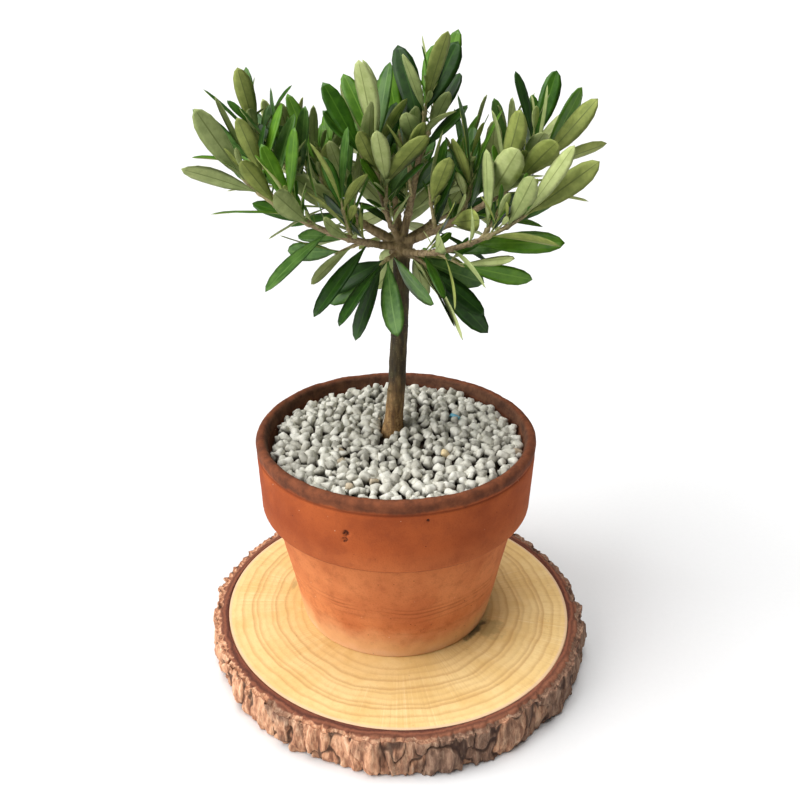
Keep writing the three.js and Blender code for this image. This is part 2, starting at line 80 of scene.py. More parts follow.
class NodeBook:  # adds nodes to a tree: settings first, then the values or links of the sockets
    def __init__(self, tree):
        self.tree = tree

    def node(self, kind, settings=(), sockets=(), out=0):
        node = self.tree.nodes.new(kind)
        for name, value in dict(settings).items():
            if name == "stops":
                self.setStops(node.color_ramp, value)
            else:
                setattr(node, name, value)
        for key, value in dict(sockets).items():
            if isinstance(value, Wire):
                self.tree.links.new(value.socket, node.inputs[key])
            else:
                node.inputs[key].default_value = value
        return Wire(self, node.outputs[out]) if node.outputs else node

    def setStops(self, ramp, stops):
        ramp.elements.remove(ramp.elements[1])
        ramp.elements[0].position, ramp.elements[0].color = stops[0]
        for position, colour in stops[1:]:
            ramp.elements.new(position).color = colour

    def vector(self, operation, *values, **more):
        out = "Value" if operation in ("LENGTH", "DISTANCE") else "Vector"
        sockets = {**dict(enumerate(values)), **more}
        return self.node("ShaderNodeVectorMath", {"operation": operation}, sockets, out)


class Finish(NodeBook):  # one material: patterns, a colour laid on coat by coat, and the surface
    def __init__(self, name):
        self.material = bpy.data.materials.new(name)
        self.material.use_nodes = True
        super().__init__(self.material.node_tree)
        self.tree.nodes.clear()
        self.place = self.node("ShaderNodeTexCoord", out="Object")
        self.colour = None

    def stretched(self, x, y, z):
        return self.node("ShaderNodeMapping", sockets={"Vector": self.place, "Scale": (x, y, z)})

    def axis(self, name):
        return self.node("ShaderNodeSeparateXYZ", sockets={"Vector": self.place}, out=name)

    def own(self, name):  # a value kept on the mesh
        return self.node("ShaderNodeAttribute", {"attribute_name": name}, out="Fac")

    def clouds(self, size, detail=3, rough=0.5, place=None, bend=0):  # noise in blots this big in mm
        sockets = {"Vector": place or self.place, "Scale": 1 / (size * mm), "Detail": detail}
        return self.node("ShaderNodeTexNoise", sockets={**sockets, "Roughness": rough, "Distortion": bend})

    def cells(self, size, place=None):  # how far it is to the nearest of points strewn this far apart in mm
        sockets = {"Vector": place or self.place, "Scale": 1 / (size * mm)}
        return self.node("ShaderNodeTexVoronoi", sockets=sockets, out="Distance")

    def rise(self, value, low, high):  # 0 up to low, 1 from high on, smooth between
        smooth = {"interpolation_type": "SMOOTHSTEP"}
        return self.node("ShaderNodeMapRange", smooth, {0: value, 1: low, 2: high})

    def above(self, low, high):  # the same by the height in mm
        return self.rise(self.axis("Z"), low * mm, high * mm)

    def ramp(self, value, *stops):
        stops = [(position, tint(colour)) for position, colour in stops]
        return self.node("ShaderNodeValToRGB", {"stops": stops}, {"Fac": value})

    def peaks(self, value, peaks):  # 0 but for peaks: place, height, and how far each runs down and up in mm
        stops = [(0, black)]
        for place, high, down, up in peaks:
            peak = (place / 100, (high, high, high, 1))
            stops += [((place - down) / 100, black), peak, ((place + up) / 100, black)]
        return self.node("ShaderNodeValToRGB", {"stops": stops}, {"Fac": value * 0.01})

    def mix(self, share, *colours):
        first, second = (tint(colour) if isinstance(colour, tuple) else colour for colour in colours)
        return self.node("ShaderNodeMix", {"data_type": "RGBA"}, {0: share, 6: first, 7: second}, 2)

    def lay(self, share, colour):  # a coat over the colour so far
        self.colour = self.mix(share, self.colour, colour)

    def surface(self, roughness, relief=None, depth=0, specular=0.5):  # depth in mm for relief 0 to 1
        sockets = {"Base Color": self.colour, "Roughness": roughness, "Specular IOR Level": specular}
        if relief is not None:
            bump = {"Height": relief, "Distance": depth * mm}
            sockets["Normal"] = self.node("ShaderNodeBump", sockets=bump)
        shader = self.node("ShaderNodeBsdfPrincipled", sockets=sockets)
        self.node("ShaderNodeOutputMaterial", sockets={"Surface": shader})
        return self.material


# Meshes

class Shape:  # gathers points, faces and the material slot of each face
    def __init__(self, points=(), faces=()):
        self.points = list(points)
        self.faces = list(faces)
        self.slots = [0] * len(self.faces)

    def add(self, points, faces, slots=0):
        start = len(self.points)
        self.points.extend(points)
        self.faces.extend(tuple(start + corner for corner in face) for face in faces)
        self.slots.extend(slots if isinstance(slots, list) else [slots] * len(faces))


def makeObject(name, data):
    made = bpy.data.objects.new(name, data)
    bpy.context.collection.objects.link(made)
    return made


def makeMesh(name, shape, *finishes):
    mesh = bpy.data.meshes.new(name)
    mesh.from_pydata([tuple(point) for point in np.array(shape.points) * mm], [], shape.faces)
    mesh.polygons.foreach_set("material_index", shape.slots)
    mesh.polygons.foreach_set("use_smooth", [True] * len(shape.faces))
    for finish in finishes:
        mesh.materials.append(finish)
    return makeObject(name, mesh)


def mark(piece, name, values, kind="FLOAT"):  # a value kept on each point
    piece.data.attributes.new(name, kind, "POINT").data.foreach_set("value", values)


def settle(piece):  # what the piece's modifiers make becomes its mesh
    mesh = bpy.data.meshes.new_from_object(piece.evaluated_get(bpy.context.evaluated_depsgraph_get()))
    piece.modifiers.clear()
    piece.data = mesh
    return mesh


def seat(piece, slotName, *nodes):  # the piece belongs to the plant and stands for these solids
    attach(piece, "root")
    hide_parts(*nodes)
    print(piece.name, len(piece.data.polygons), "faces")


def ringFaces(rows, around):  # faces between rows of corners that close round, and may shrink to one point
    faces = []
    for low, high in zip(rows, rows[1:]):
        for i in range(around):
            j = (i + 1) % around
            faces.append(tuple(dict.fromkeys((low[i], low[j], high[j], high[i]))))
    return faces


def lathe(profile, sectors):  # a profile of radius and height turned about the upright axis
    angles = np.linspace(0, 2 * math.pi, sectors, endpoint=False)
    points, rows = [], []
    for radius, height in profile:
        first = len(points)
        if radius == 0:
            points.append((0, 0, height))
            rows.append([first] * sectors)
        else:
            points.extend(zip(radius * np.cos(angles), radius * np.sin(angles), [height] * sectors))
            rows.append(list(range(first, first + sectors)))
    return np.array(points), ringFaces(rows, sectors)


def line(start, end, steps):  # points from start up to, but not at, the end
    return [tuple(np.array(start) + (np.array(end) - start) * k / steps) for k in range(steps)]


def arc(centre, radius, fromAngle, toAngle, steps):
    angles = np.radians(np.linspace(fromAngle, toAngle, steps + 1))
    return [(centre[0] + radius * math.cos(a), centre[1] + radius * math.sin(a)) for a in angles]


def soft(x, y, z, wide=1, high=1, shift=(0, 0, 0)):  # noise from -1 to 1 in blots this wide and high
    return noise.noise(Vector((x / wide, y / wide, z / high)) + Vector(shift))


def ease(value, low, high):
    share = min(max((value - low) / (high - low), 0), 1)
    return share * share * (3 - 2 * share)


# Slice of log

slab = {
    "thickness": 22, "centreX": 0.9, "centreY": -7, "radius": 97.6, "rings": 84, "sectors": 300, "oval": 1.7,
    "ovalTurn": 38, "lobe": 0.6, "lobeTurn": -32, "wornEdge": 0.6, "wave": 0.18, "sawMarks": 0.06,
}
woodLines = [  # radius of each dark line in the wood, and how dark it is
    (55.5, 0.5), (59.8, 0.35), (64.6, 0.85), (70.6, 0.9), (73.2, 0.55), (77.4, 0.3), (81.6, 0.75),
    (84.4, 0.95), (90.2, 0.7), (94.3, 0.3),
]
stains = [  # damp marks on the wood: place, reach outwards and round, strength and colour
    (53, -31, 9, 11, 0.42, (128, 112, 62)), (44.2, -32.6, 2.6, 14, 0.75, (66, 58, 32)),
    (-61, 9, 2.2, 6, 0.4, (140, 104, 58)),
]


def swell(angle):  # how far the log is out of round
    oval = slab["oval"] * np.cos(2 * (angle + math.radians(slab["ovalTurn"])))
    return oval + slab["lobe"] * np.cos(3 * (angle + math.radians(slab["lobeTurn"])))


def onSlab(reach, angle, height):
    return reach * math.cos(angle) + slab["centreX"], reach * math.sin(angle) + slab["centreY"], height


def outFromSlab(f):  # the level way out from the log's middle
    return f.vector("SUBTRACT", f.stretched(1, 1, 0), (slab["centreX"] * mm, slab["centreY"] * mm, 0))


def makeSliceWood():
    radius, top, steps = slab["radius"], slab["thickness"], slab["rings"]
    profile = [(0, 0)] + [(radius * k / 4, 0) for k in range(1, 5)]
    profile += [(radius, top * 0.5), (radius, top - 0.35), (radius - 0.25, top - 0.08)]
    profile += [((radius - slab["wornEdge"]) * (1 - k / steps), top) for k in range(steps)] + [(0, top)]
    corners, faces = lathe(profile, slab["sectors"])
    points, rings = [], []
    for x, y, z in corners:
        distance, angle = math.hypot(x, y), math.atan2(y, x)
        if z > top - 0.2:
            z += slab["wave"] * soft(x, y, 1, 22) + slab["sawMarks"] * soft(x / 1.5, y / 14, 3) - 0.1
        points.append(onSlab(distance * (1 + swell(angle) / radius), angle, z))
        rings.append(distance)
    piece = makeMesh("slice_wood_disc", Shape(points, faces), woodFinish())
    mark(piece, "ring", rings)
    seat(piece, "cut_wood", "slice_wood")


def woodFinish():
    f = Finish("cutWood")
    ring = f.own("ring")
    drifted = ring + (f.clouds(40, 2) - 0.5) * 9 + (f.clouds(9, 2) - 0.5) * 0.9
    late = f.peaks(drifted, [(radius, dark, 1.9, 0.75) for radius, dark in woodLines])
    blots = f.clouds(22, 4, 0.6)
    fibre = f.clouds(0.9, 3, 0.7)
    f.colour = f.mix(f.rise(blots, 0.35, 0.68), (240, 210, 146), (230, 194, 124))
    f.lay(f.rise(f.clouds(3, 4, 0.65), 0.45, 0.75) * 0.3, (216, 176, 110))
    # rays that run outwards, pale and dark, in patches
    out = outFromSlab(f)
    rayPlace = f.vector("MULTIPLY_ADD", out, (0.06, 0.06, 0), f.vector("NORMALIZE", out))
    rays = {"Vector": rayPlace, "Scale": 95.0, "Detail": 3, "Roughness": 0.6}
    rays = f.node("ShaderNodeTexNoise", sockets=rays)
    rayPatch = f.rise(f.clouds(30, 2), 0.46, 0.6)
    f.lay(f.rise(rays, 0.55, 0.7) * rayPatch * 0.4, (250, 230, 182))
    f.lay(f.rise(rays, 0.5, 0.34) * rayPatch * 0.3, (204, 162, 100))
    f.lay(late * (0.34 + fibre * 0.4), (178, 122, 60))
    f.lay(f.rise(fibre, 0.55, 0.8) * 0.25, (202, 160, 100))
    freckles = f.rise(f.clouds(1.8, 3, 0.6), 0.64, 0.72) * f.rise(f.clouds(18, 2), 0.5, 0.62)
    f.lay(freckles * 0.4, (150, 108, 60))
    for x, y, width, length, dark, colour in stains:
        away = f.node("ShaderNodeMapping", {"vector_type": "TEXTURE"}, {
            "Vector": f.stretched(1, 1, 0), "Location": (x * mm, y * mm, 0),
            "Rotation": (0, 0, math.atan2(y, x)), "Scale": (width * mm, length * mm, 1)})
        spread = f.vector("LENGTH", away) + (f.clouds(5, 4, 0.7) - 0.5) * 1.5
        f.lay((1 - f.rise(spread, 0.35, 1.05)) * dark, colour)
    f.lay(f.rise(ring, slab["radius"] - 2.2, slab["radius"] - 0.7) * 0.7, (224, 190, 158))
    return f.surface(0.62 + fibre * 0.15, fibre * 0.5 - late * 0.4, 0.25)


bark = {
    "gap": 0.3, "width": 7.0, "belly": 1.6, "sectors": 960, "rowsUp": 26, "rowsIn": 9, "crackDepth": 1.1,
    "plateWidth": 12.5, "plateHeight": 34, "bend": 0.42, "bendRate": 2.1, "plateLift": 1.7, "plateLean": 0.9,
    "flakeWidth": 3.6, "flakeHeight": 16, "flakeSteps": 4.5, "flakeLift": 2.2,
    "grainWidth": 1.4, "grainHeight": 6, "grainLift": 0.3, "lump": 1.3, "lumpWidth": 26,
    "cutDrop": 2, "cutUneven": 1.4, "cutGrain": 0.3, "cutLevel": 0.42,
}


def barkHeight(x, y, z):  # plates that stand at their own heights, torn into flakes that lie in steps
    place = Vector((x / bark["plateWidth"], y / bark["plateWidth"], z / bark["plateHeight"]))
    bent = place + noise.noise_vector(place * bark["bendRate"]) * bark["bend"]
    distances, spots = noise.voronoi(bent)
    plate = ease(distances[1] - distances[0], 0.01, 0.13)
    own = noise.noise(spots[0] * 9.1)
    lean = (bent - spots[0]).z
    flake = (soft(x, y, z, bark["flakeWidth"], bark["flakeHeight"], (9, 2, 4)) + 1) * bark["flakeSteps"]
    step = (math.floor(flake) + ease(flake % 1, 0, 0.3)) / bark["flakeSteps"] - 1
    grain = soft(x, y, z, bark["grainWidth"], bark["grainHeight"])
    lift = bark["plateLift"] * own - bark["plateLean"] * lean
    lift = lift + bark["flakeLift"] * step + bark["grainLift"] * grain
    return plate, own, lift * (0.4 + 0.6 * plate) - bark["crackDepth"] * (1 - plate)


def makeSliceBark():
    inner, top = slab["radius"] + bark["gap"], slab["thickness"]
    up, inwards = bark["rowsUp"], bark["rowsIn"]
    loop = [(0, 0), (0.5, 0)] + [(1, top * k / up) for k in range(up)]  # under, and up the outside
    loop += [(1 - k / inwards, top) for k in range(inwards + 1)] + [(0, top * 0.5)]  # over the cut, and in
    points, plates, tones, rows = [], [], [], []
    angles = np.linspace(0, 2 * math.pi, bark["sectors"], endpoint=False)
    swollen = swell(angles)
    for share, height in loop:
        rows.append(list(range(len(points), len(points) + len(angles))))
        isCut = height >= top and share > 0
        for angle, more in zip(angles, swollen):
            radius = inner + bark["width"] + more
            x, y = radius * math.cos(angle), radius * math.sin(angle)
            plate, own, lift = barkHeight(x, y, height)
            belly = bark["belly"] * math.sin(math.pi * min(height / top, 1)) ** 0.5
            lump = bark["lump"] * soft(x, y, 5, bark["lumpWidth"])
            drop = 0
            if isCut:
                drop = bark["cutDrop"] + bark["cutUneven"] * own + bark["cutUneven"] * (1 - plate)
                drop *= ease(share, bark["cutLevel"], 1)
                drop += bark["cutGrain"] * soft(x, y, share * 4, 3) * share
            reach = inner + more + (bark["width"] + belly + lump + lift) * share
            points.append(onSlab(reach, angle, height - drop))
            plates.append(1 if isCut and share < 0.9 else plate)
            tones.append(0.5 + own)
    faces = ringFaces(rows + rows[:1], len(angles))
    piece = makeMesh("slice_bark_plates", Shape(points, faces), barkFinish())
    mark(piece, "plate", plates)
    mark(piece, "tone", tones)
    seat(piece, "log_bark", "slice_bark")


def barkFinish():
    f = Finish("logBark")
    streaks = f.clouds(2.6, 5, 0.65, f.stretched(1, 1, 0.24), 0.5)
    grain = f.clouds(1, 4, 0.65, f.stretched(1, 1, 0.22))
    blots = f.clouds(15, 3)
    warm = f.ramp(streaks, (0.3, (130, 84, 62)), (0.46, (194, 138, 104)), (0.6, (232, 182, 144)),
                  (0.74, (246, 216, 184)))
    grey = f.ramp(streaks, (0.3, (86, 62, 50)), (0.48, (132, 100, 80)), (0.64, (172, 140, 116)),
                  (0.78, (202, 178, 154)))
    weatheringAndRightShade = f.own("tone") + (blots - 0.5) * 1.6 + f.axis("X") * 9  # some plates more weathered; the right side is painted greyer and darker as shade
    f.colour = f.mix(f.rise(weatheringAndRightShade, 0.2, 0.95), warm, grey)
    f.lay(f.rise(grain, 0.52, 0.72) * 0.5, (92, 58, 42))
    # painted shade: the sunken cracks between the plates are laid dark brown
    f.lay(0.85 - f.rise(f.own("plate"), 0.02, 0.6) * 0.85, (58, 35, 25))
    # the sawn top: inner bark, red-brown, with a dark line beside the wood
    fromWood = f.vector("LENGTH", outFromSlab(f)) * (1 / mm) + (blots - 0.5) * 5
    fromWood = fromWood + (f.clouds(2.4, 4, 0.6) - 0.5) * 2 - 96
    layers = f.ramp(fromWood * 0.1, (0.1, (122, 68, 48)), (0.28, (84, 44, 32)), (0.42, (140, 84, 60)),
                    (0.55, (104, 60, 42)), (0.7, (148, 94, 68)), (0.85, (112, 68, 48)))
    f.lay(f.above(slab["thickness"] - 1.3, slab["thickness"] - 0.7), layers)
    return f.surface(0.85 + grain * 0.12, grain * 0.55 + streaks * 0.45, 0.8)


makeSliceWood()
makeSliceBark()


# Pot and what fills it

pot = {
    "foot": 22, "rim": 133, "bandFoot": 91.3, "rimRadius": 75, "bandFootRadius": 73.7, "bodyTopRadius": 67.5,
    "footRadius": 54.4, "rimInside": 69.4, "floorInside": 46, "floor": 30, "insideDepth": 100,
    "lip": 2.7, "footRound": 1.4, "bandRound": 2.6, "sectors": 420, "noiseRadius": 70, "unevenness": 0.35,
    "grain": 0.1, "lineWander": 0.8, "lipWear": 0.3, "lipWave": 0.5,
}
throwLines = [  # height, depth and width of each line that the thrower left
    (42, 0.12, 1.2), (51, 0.22, 0.9), (54.6, 0.35, 0.7), (57.4, 0.4, 0.7), (60, 0.3, 0.7),
]
chips = [  # turn, height, size and depth of each knocked spot
    (-108.5, 113.5, 1.5, 1.2), (-109, 109.8, 1.2, 0.9), (-63, 47, 0.7, 0.5), (-78, 122.4, 0.8, 0.5),
]
chipForm = {"turnRadius": 74, "radius": 74.6, "ragged": 0.35, "edge": (0.5, 1.15)}


def potRelief(angle, height):  # how far the outside stands in or out of its true profile
    x, y = math.cos(angle) * pot["noiseRadius"], math.sin(angle) * pot["noiseRadius"]
    relief = pot["unevenness"] * soft(x, y, height, 45, 30)
    relief += pot["grain"] * soft(x, y, height, 5, 3)
    for level, depth, width in throwLines:
        wander = level + pot["lineWander"] * math.sin(angle + level)
        relief -= depth * math.exp(-((height - wander) / width) ** 2)
    for turn, level, size, depth in chips:
        along = (math.degrees(angle) - turn + 180) % 360 - 180
        away = math.hypot(math.radians(along) * chipForm["turnRadius"], height - level) / size
        away *= 1 + chipForm["ragged"] * soft(x, y, height * 2)
        relief -= depth * (1 - ease(away, *chipForm["edge"]))
    return relief


def makePotShell():
    foot, band, rim, lip = (pot[name] for name in ("foot", "bandFoot", "rim", "lip"))
    footRadius, bodyTop = pot["footRadius"], pot["bodyTopRadius"]
    bandRadius, rimRadius = pot["bandFootRadius"], pot["rimRadius"]
    footRound, bandRound = pot["footRound"], pot["bandRound"]
    outside = [(0, foot), (25, foot), (footRadius - footRound, foot)]
    outside += arc((footRadius - footRound, foot + footRound), footRound, -90, -10, 4)
    outside += line((footRadius + 0.3, foot + 2.6), (bodyTop, band - 0.6), 66)
    outside += [(bodyTop, band - 0.6), (bodyTop - 0.1, band + 0.3)]
    outside += line((bodyTop + 0.5, band + 0.55), (bandRadius - bandRound, band + 0.25), 4)
    outside += arc((bandRadius - bandRound, band + 2.8), bandRound, -90, 0, 8)
    outside += line((bandRadius + 0.1, band + 6), (rimRadius - 0.3, rim - 9), 26)
    outside += [(rimRadius - 0.35, rim - 8.2), (rimRadius - 0.8, rim - 7.4), (rimRadius - 0.75, rim - 6.9)]
    outside += line((rimRadius - 0.2, rim - 6.1), (rimRadius - 0.1, rim - lip), 3)
    outside += arc((rimRadius - lip, rim - lip), lip, 0, 90, 9)
    inside = arc((pot["rimInside"] + lip, rim - lip), lip, 90, 180, 8)
    inside += line((pot["rimInside"] - 0.2, rim - 4), (pot["floorInside"], pot["floor"]), 14)
    inside += [(pot["floorInside"], pot["floor"]), (20, pot["floor"]), (0, pot["floor"])]
    corners, faces = lathe(outside + inside, pot["sectors"])
    points = []
    for x, y, z in corners:
        reach, angle = math.hypot(x, y), math.atan2(y, x)
        if reach > footRadius - 2 and z > foot + 0.5:
            reach += potRelief(angle, z) * ease(reach, 0.9 * footRadius, footRadius)
            wear = pot["lipWear"] * soft(x, y, z, 3) + pot["lipWave"] * soft(x, y, 2, 14)
            z += wear * ease(z, rim - 3, rim)
        points.append((reach * math.cos(angle), reach * math.sin(angle), z))
    seat(makeMesh("clay_pot", Shape(points, faces), clayFinish()), "clay", "pot")


def clayFinish():
    f = Finish("clay")
    foot, band, rim = pot["foot"], pot["bandFoot"], pot["rim"]
    height = f.axis("Z") * (1 / mm)
    blots = f.clouds(38, 4, 0.55)
    mottle = f.clouds(6, 5, 0.7)
    grain = f.clouds(0.8, 2, 0.6)
    bodyClay = f.mix(f.rise(blots, 0.35, 0.65), (216, 134, 82), (196, 112, 66))
    bandClay = f.mix(f.rise(blots, 0.35, 0.65), (176, 88, 44), (150, 70, 35))
    # the band is darkest at its middle, and the body reddens up to it
    isBand = f.above(band - 1, band + 1)
    bandShare = 0.68 + f.above(band, band + 16) * 0.32
    bodyShare = f.above(band - 26, band) * 0.34
    f.colour = f.mix(isBand * bandShare + (1 - isBand) * bodyShare, bodyClay, bandClay)
    f.lay(f.rise(mottle, 0.45, 0.75) * 0.35, (136, 66, 38))
    f.lay(f.rise(grain, 0.5, 0.72) * 0.16, (110, 50, 28))
    # lime that crept up from the foot, and the rubbed edge of the foot
    creep = height + (f.clouds(20, 3) - 0.5) * 20 + (mottle - 0.5) * 6
    f.lay((1 - f.rise(creep, foot + 2, foot + 24)) * 0.75, (238, 192, 140))
    f.lay((1 - f.rise(creep, foot - 2, foot + 8)) * 0.5, (236, 196, 164))
    # weathered lip and inside
    worn = height + (f.clouds(14, 4, 0.65) - 0.5) * 7
    patches = f.rise(mottle, 0.3, 0.7)
    radial = f.vector("LENGTH", f.stretched(1, 1, 0))
    inner = 1 - f.rise(radial, (pot["rimInside"] + 0.2) * mm, (pot["rimInside"] + 2) * mm)
    f.lay(f.rise(worn, rim - 7.5, rim - 4.5) * 0.85, f.mix(patches, (124, 74, 50), (74, 48, 36)))
    f.lay(inner * f.above(rim - 40, rim - 20) * 0.8, f.mix(patches, (112, 80, 60), (72, 50, 40)))
    # painted shadow under the band's overhang, and painted shade in the groove under the lip
    bandShadow = f.above(band - 1.3, band + 0.1) * (1 - f.above(band + 0.8, band + 2))
    lipGrooveShade = f.above(rim - 8.3, rim - 7.5) * (1 - f.above(rim - 7.0, rim - 6.2))
    f.lay(bandShadow * 0.55 + lipGrooveShade * 0.4, (82, 36, 22))
    # the thrower's lines and the knocked spots, with painted shade in their hollows
    wander = height.math("MULTIPLY_ADD", f.clouds(60, 1), 16, height - 8)
    thrown = f.peaks(wander, [(level, depth * 2, width, width) for level, depth, width in throwLines])
    f.lay(thrown * f.rise(f.clouds(22, 2), 0.36, 0.56) * 0.62, (124, 56, 30))
    for turn, level, size, _ in chips:
        x, y = math.cos(math.radians(turn)), math.sin(math.radians(turn))
        spot = (chipForm["radius"] * mm * x, chipForm["radius"] * mm * y, level * mm)
        away = f.vector("DISTANCE", f.place, spot) * (1 / mm) + (f.clouds(1.4, 2) - 0.5) * 2
        f.lay((1 - f.rise(away, size * 0.85, size * 1.4)) * 0.9, (44, 18, 12))
    # specks of lime and grit
    speck = (1 - f.rise(f.cells(5.6), 0.03, 0.07)) * f.rise(f.clouds(9, 1), 0.52, 0.6)
    f.lay(speck * 0.7, (232, 200, 166))
    pit = 1 - f.rise(f.cells(5.3, f.stretched(1.2, 1, 1.4)), 0.04, 0.09)
    pit = pit * f.rise(f.clouds(12, 1), 0.5, 0.6)
    f.lay(pit * 0.8, (60, 26, 18))
    return f.surface(0.82 + grain * 0.15, grain * 0.5 + mottle * 0.5 - pit, 0.25, 0.2)


ground = {
    "soilTop": 122, "lumps": 1.3, "crumbs": 0.5, "rings": 46, "sectors": 150, "hollowDepth": 3.2,
    "stoneWidth": 6.3, "stoneRise": 3.5, "unevenRise": 0.8, "scatter": 1.1, "stray": 1.3, "bareX": -7,
    "bareY": -0.5, "bareRadius": 4.8, "trunkX": -1.8, "trunkY": 13, "trunkClear": 6.6, "wallClear": 1.6,
    "stoneRadius": 2.95, "unevenRadius": 0.2, "lowRadius": 2.25, "lowDrop": 1.5, "lowShare": 0.55,
    "lowReach": 0.8, "wallRow": 4, "sunk": 0.8, "latticeX": 34, "latticeY": 24,
}


def insideRadius(height):  # of the pot's tapering inside
    wider = pot["rimInside"] - pot["floorInside"]
    return pot["floorInside"] + wider * (height - pot["floor"]) / pot["insideDepth"]


def makeSoilFill():
    top, rings = ground["soilTop"], ground["rings"]
    wall = insideRadius(top) - 0.3
    profile = [(0, pot["floor"] + 0.3), (pot["floorInside"] - 0.6, pot["floor"] + 0.3)]
    profile += line((wall * 0.85, 80), (wall, top), 3) + [(wall * (1 - k / rings), top) for k in range(rings)]
    corners, faces = lathe(profile + [(0, top)], ground["sectors"])
    points = []
    for x, y, z in corners:
        if z >= top:
            z += ground["lumps"] * soft(x, y, 2, 3) + ground["crumbs"] * soft(x, y, 4)
        points.append((x, y, z))
    seat(makeMesh("soil_fill", Shape(points, faces), soilFinish()), "soil", "soil")


def soilFinish():
    f = Finish("soil")
    crumbs = f.clouds(1.4, 5, 0.7)
    f.colour = f.ramp(crumbs, (0.3, (26, 18, 13)), (0.55, (58, 42, 30)), (0.8, (96, 74, 54)))
    return f.surface(0.9 + crumbs * 0.1, crumbs, 1.2)


def stoneFinish(name, light, dark):
    f = Finish(name)
    dust = f.clouds(2.2, 4, 0.6)
    pores = f.clouds(0.5, 2, 0.6)
    f.colour = f.mix(f.rise(dust, 0.32, 0.68), light, dark)
    f.lay(f.rise(pores, 0.6, 0.8) * 0.25, (150, 146, 138))
    low = 1 - f.above(ground["soilTop"] + 2.4, ground["soilTop"] + 5)
    f.lay(low * 0.6, (104, 98, 88))  # dust and shade in the gaps between the stones
    return f.surface(0.75 + pores * 0.15, pores * 0.4 + dust * 0.6, 0.2)


stoneTones = [  # share of the stones, and their finish; the last two are single stones
    (0.42, "stoneWhite", (230, 228, 217), (211, 208, 196)),
    (0.36, "stonePale", (218, 215, 203), (194, 191, 178)),
    (0.205, "stoneGrey", (194, 191, 179), (164, 161, 149)),
    (0.015, "stoneWarm", (206, 192, 168), (180, 162, 134)),
    (0, "stoneCream", (238, 218, 176), (218, 192, 142)),
    (0, "stoneBlue", (140, 206, 230), (112, 190, 220)),
]
singleStones = [(4, 29, -18), (5, 31.5, 25)]  # tone, and the place it is nearest to
pebble = {
    "block": 1.6, "cuts": 4, "least": (0.92, 0.68, 0.55), "most": (1.35, 1.02, 0.86), "lumpScale": 230.0,
    "inputs": {"Roundness": 0.42, "Unevenness": 2.6 * mm, "Seed": 11},
}


def chance(i, j, salt):  # a number from -1 to 1 that a place in the lattice settles
    wave = math.sin(i * 12.9898 + j * 78.233 + salt * 37.719) * 43758.5453
    return (wave - math.floor(wave)) * 2 - 1


def toneOf(share):
    tone = 0
    while share > stoneTones[tone][0] and tone < 3:
        share -= stoneTones[tone][0]
        tone += 1
    return tone


def stonePlaces():  # the lattice of the model's gravel: a stone at every third corner, lower ones between
    step = ground["stoneWidth"] / math.sqrt(3)
    hollow = ground["soilTop"] + ground["hollowDepth"]
    reach = insideRadius(ground["soilTop"]) - ground["wallClear"]
    scatter, stray = ground["scatter"], ground["stray"]
    places = []
    for j in range(-ground["latticeY"], ground["latticeY"] + 1):
        for i in range(-ground["latticeX"], ground["latticeX"] + 1):
            x = (i - j / 2) * step + scatter * chance(i, j, 1) + stray * chance(i, j, 7)
            y = j * step * math.sqrt(0.75) + scatter * chance(i, j, 2) + stray * chance(i, j, 8)
            out = math.hypot(x, y)
            isTop = (i + j) % 3 == 0
            atTrunk = math.hypot(x - ground["trunkX"], y - ground["trunkY"]) < ground["trunkClear"]
            isBare = math.hypot(x - ground["bareX"], y - ground["bareY"]) < ground["bareRadius"]
            isSpare = abs(chance(i, j, 5)) > ground["lowShare"] and out < reach - ground["wallRow"]
            isOutside = out > reach + (0 if isTop else ground["lowReach"])
            if isOutside or atTrunk or isBare or (isSpare and not isTop):
                continue
            size = ground["stoneRadius"] if isTop else ground["lowRadius"]
            size *= 1 + ground["unevenRadius"] * chance(i, j, 6)
            rise = ground["lowDrop"]
            if isTop:
                rise = ground["stoneRise"] + ground["unevenRise"] * chance(i, j, 3)
            tone = toneOf((chance(i, j, 4) + 1) / 2)
            places.append([x, y, hollow + rise - size * ground["sunk"], size, tone, isTop])
    for tone, x, y in singleStones:
        min((p for p in places if p[5]), key=lambda p: math.hypot(p[0] - x, p[1] - y))[4] = tone
    return places


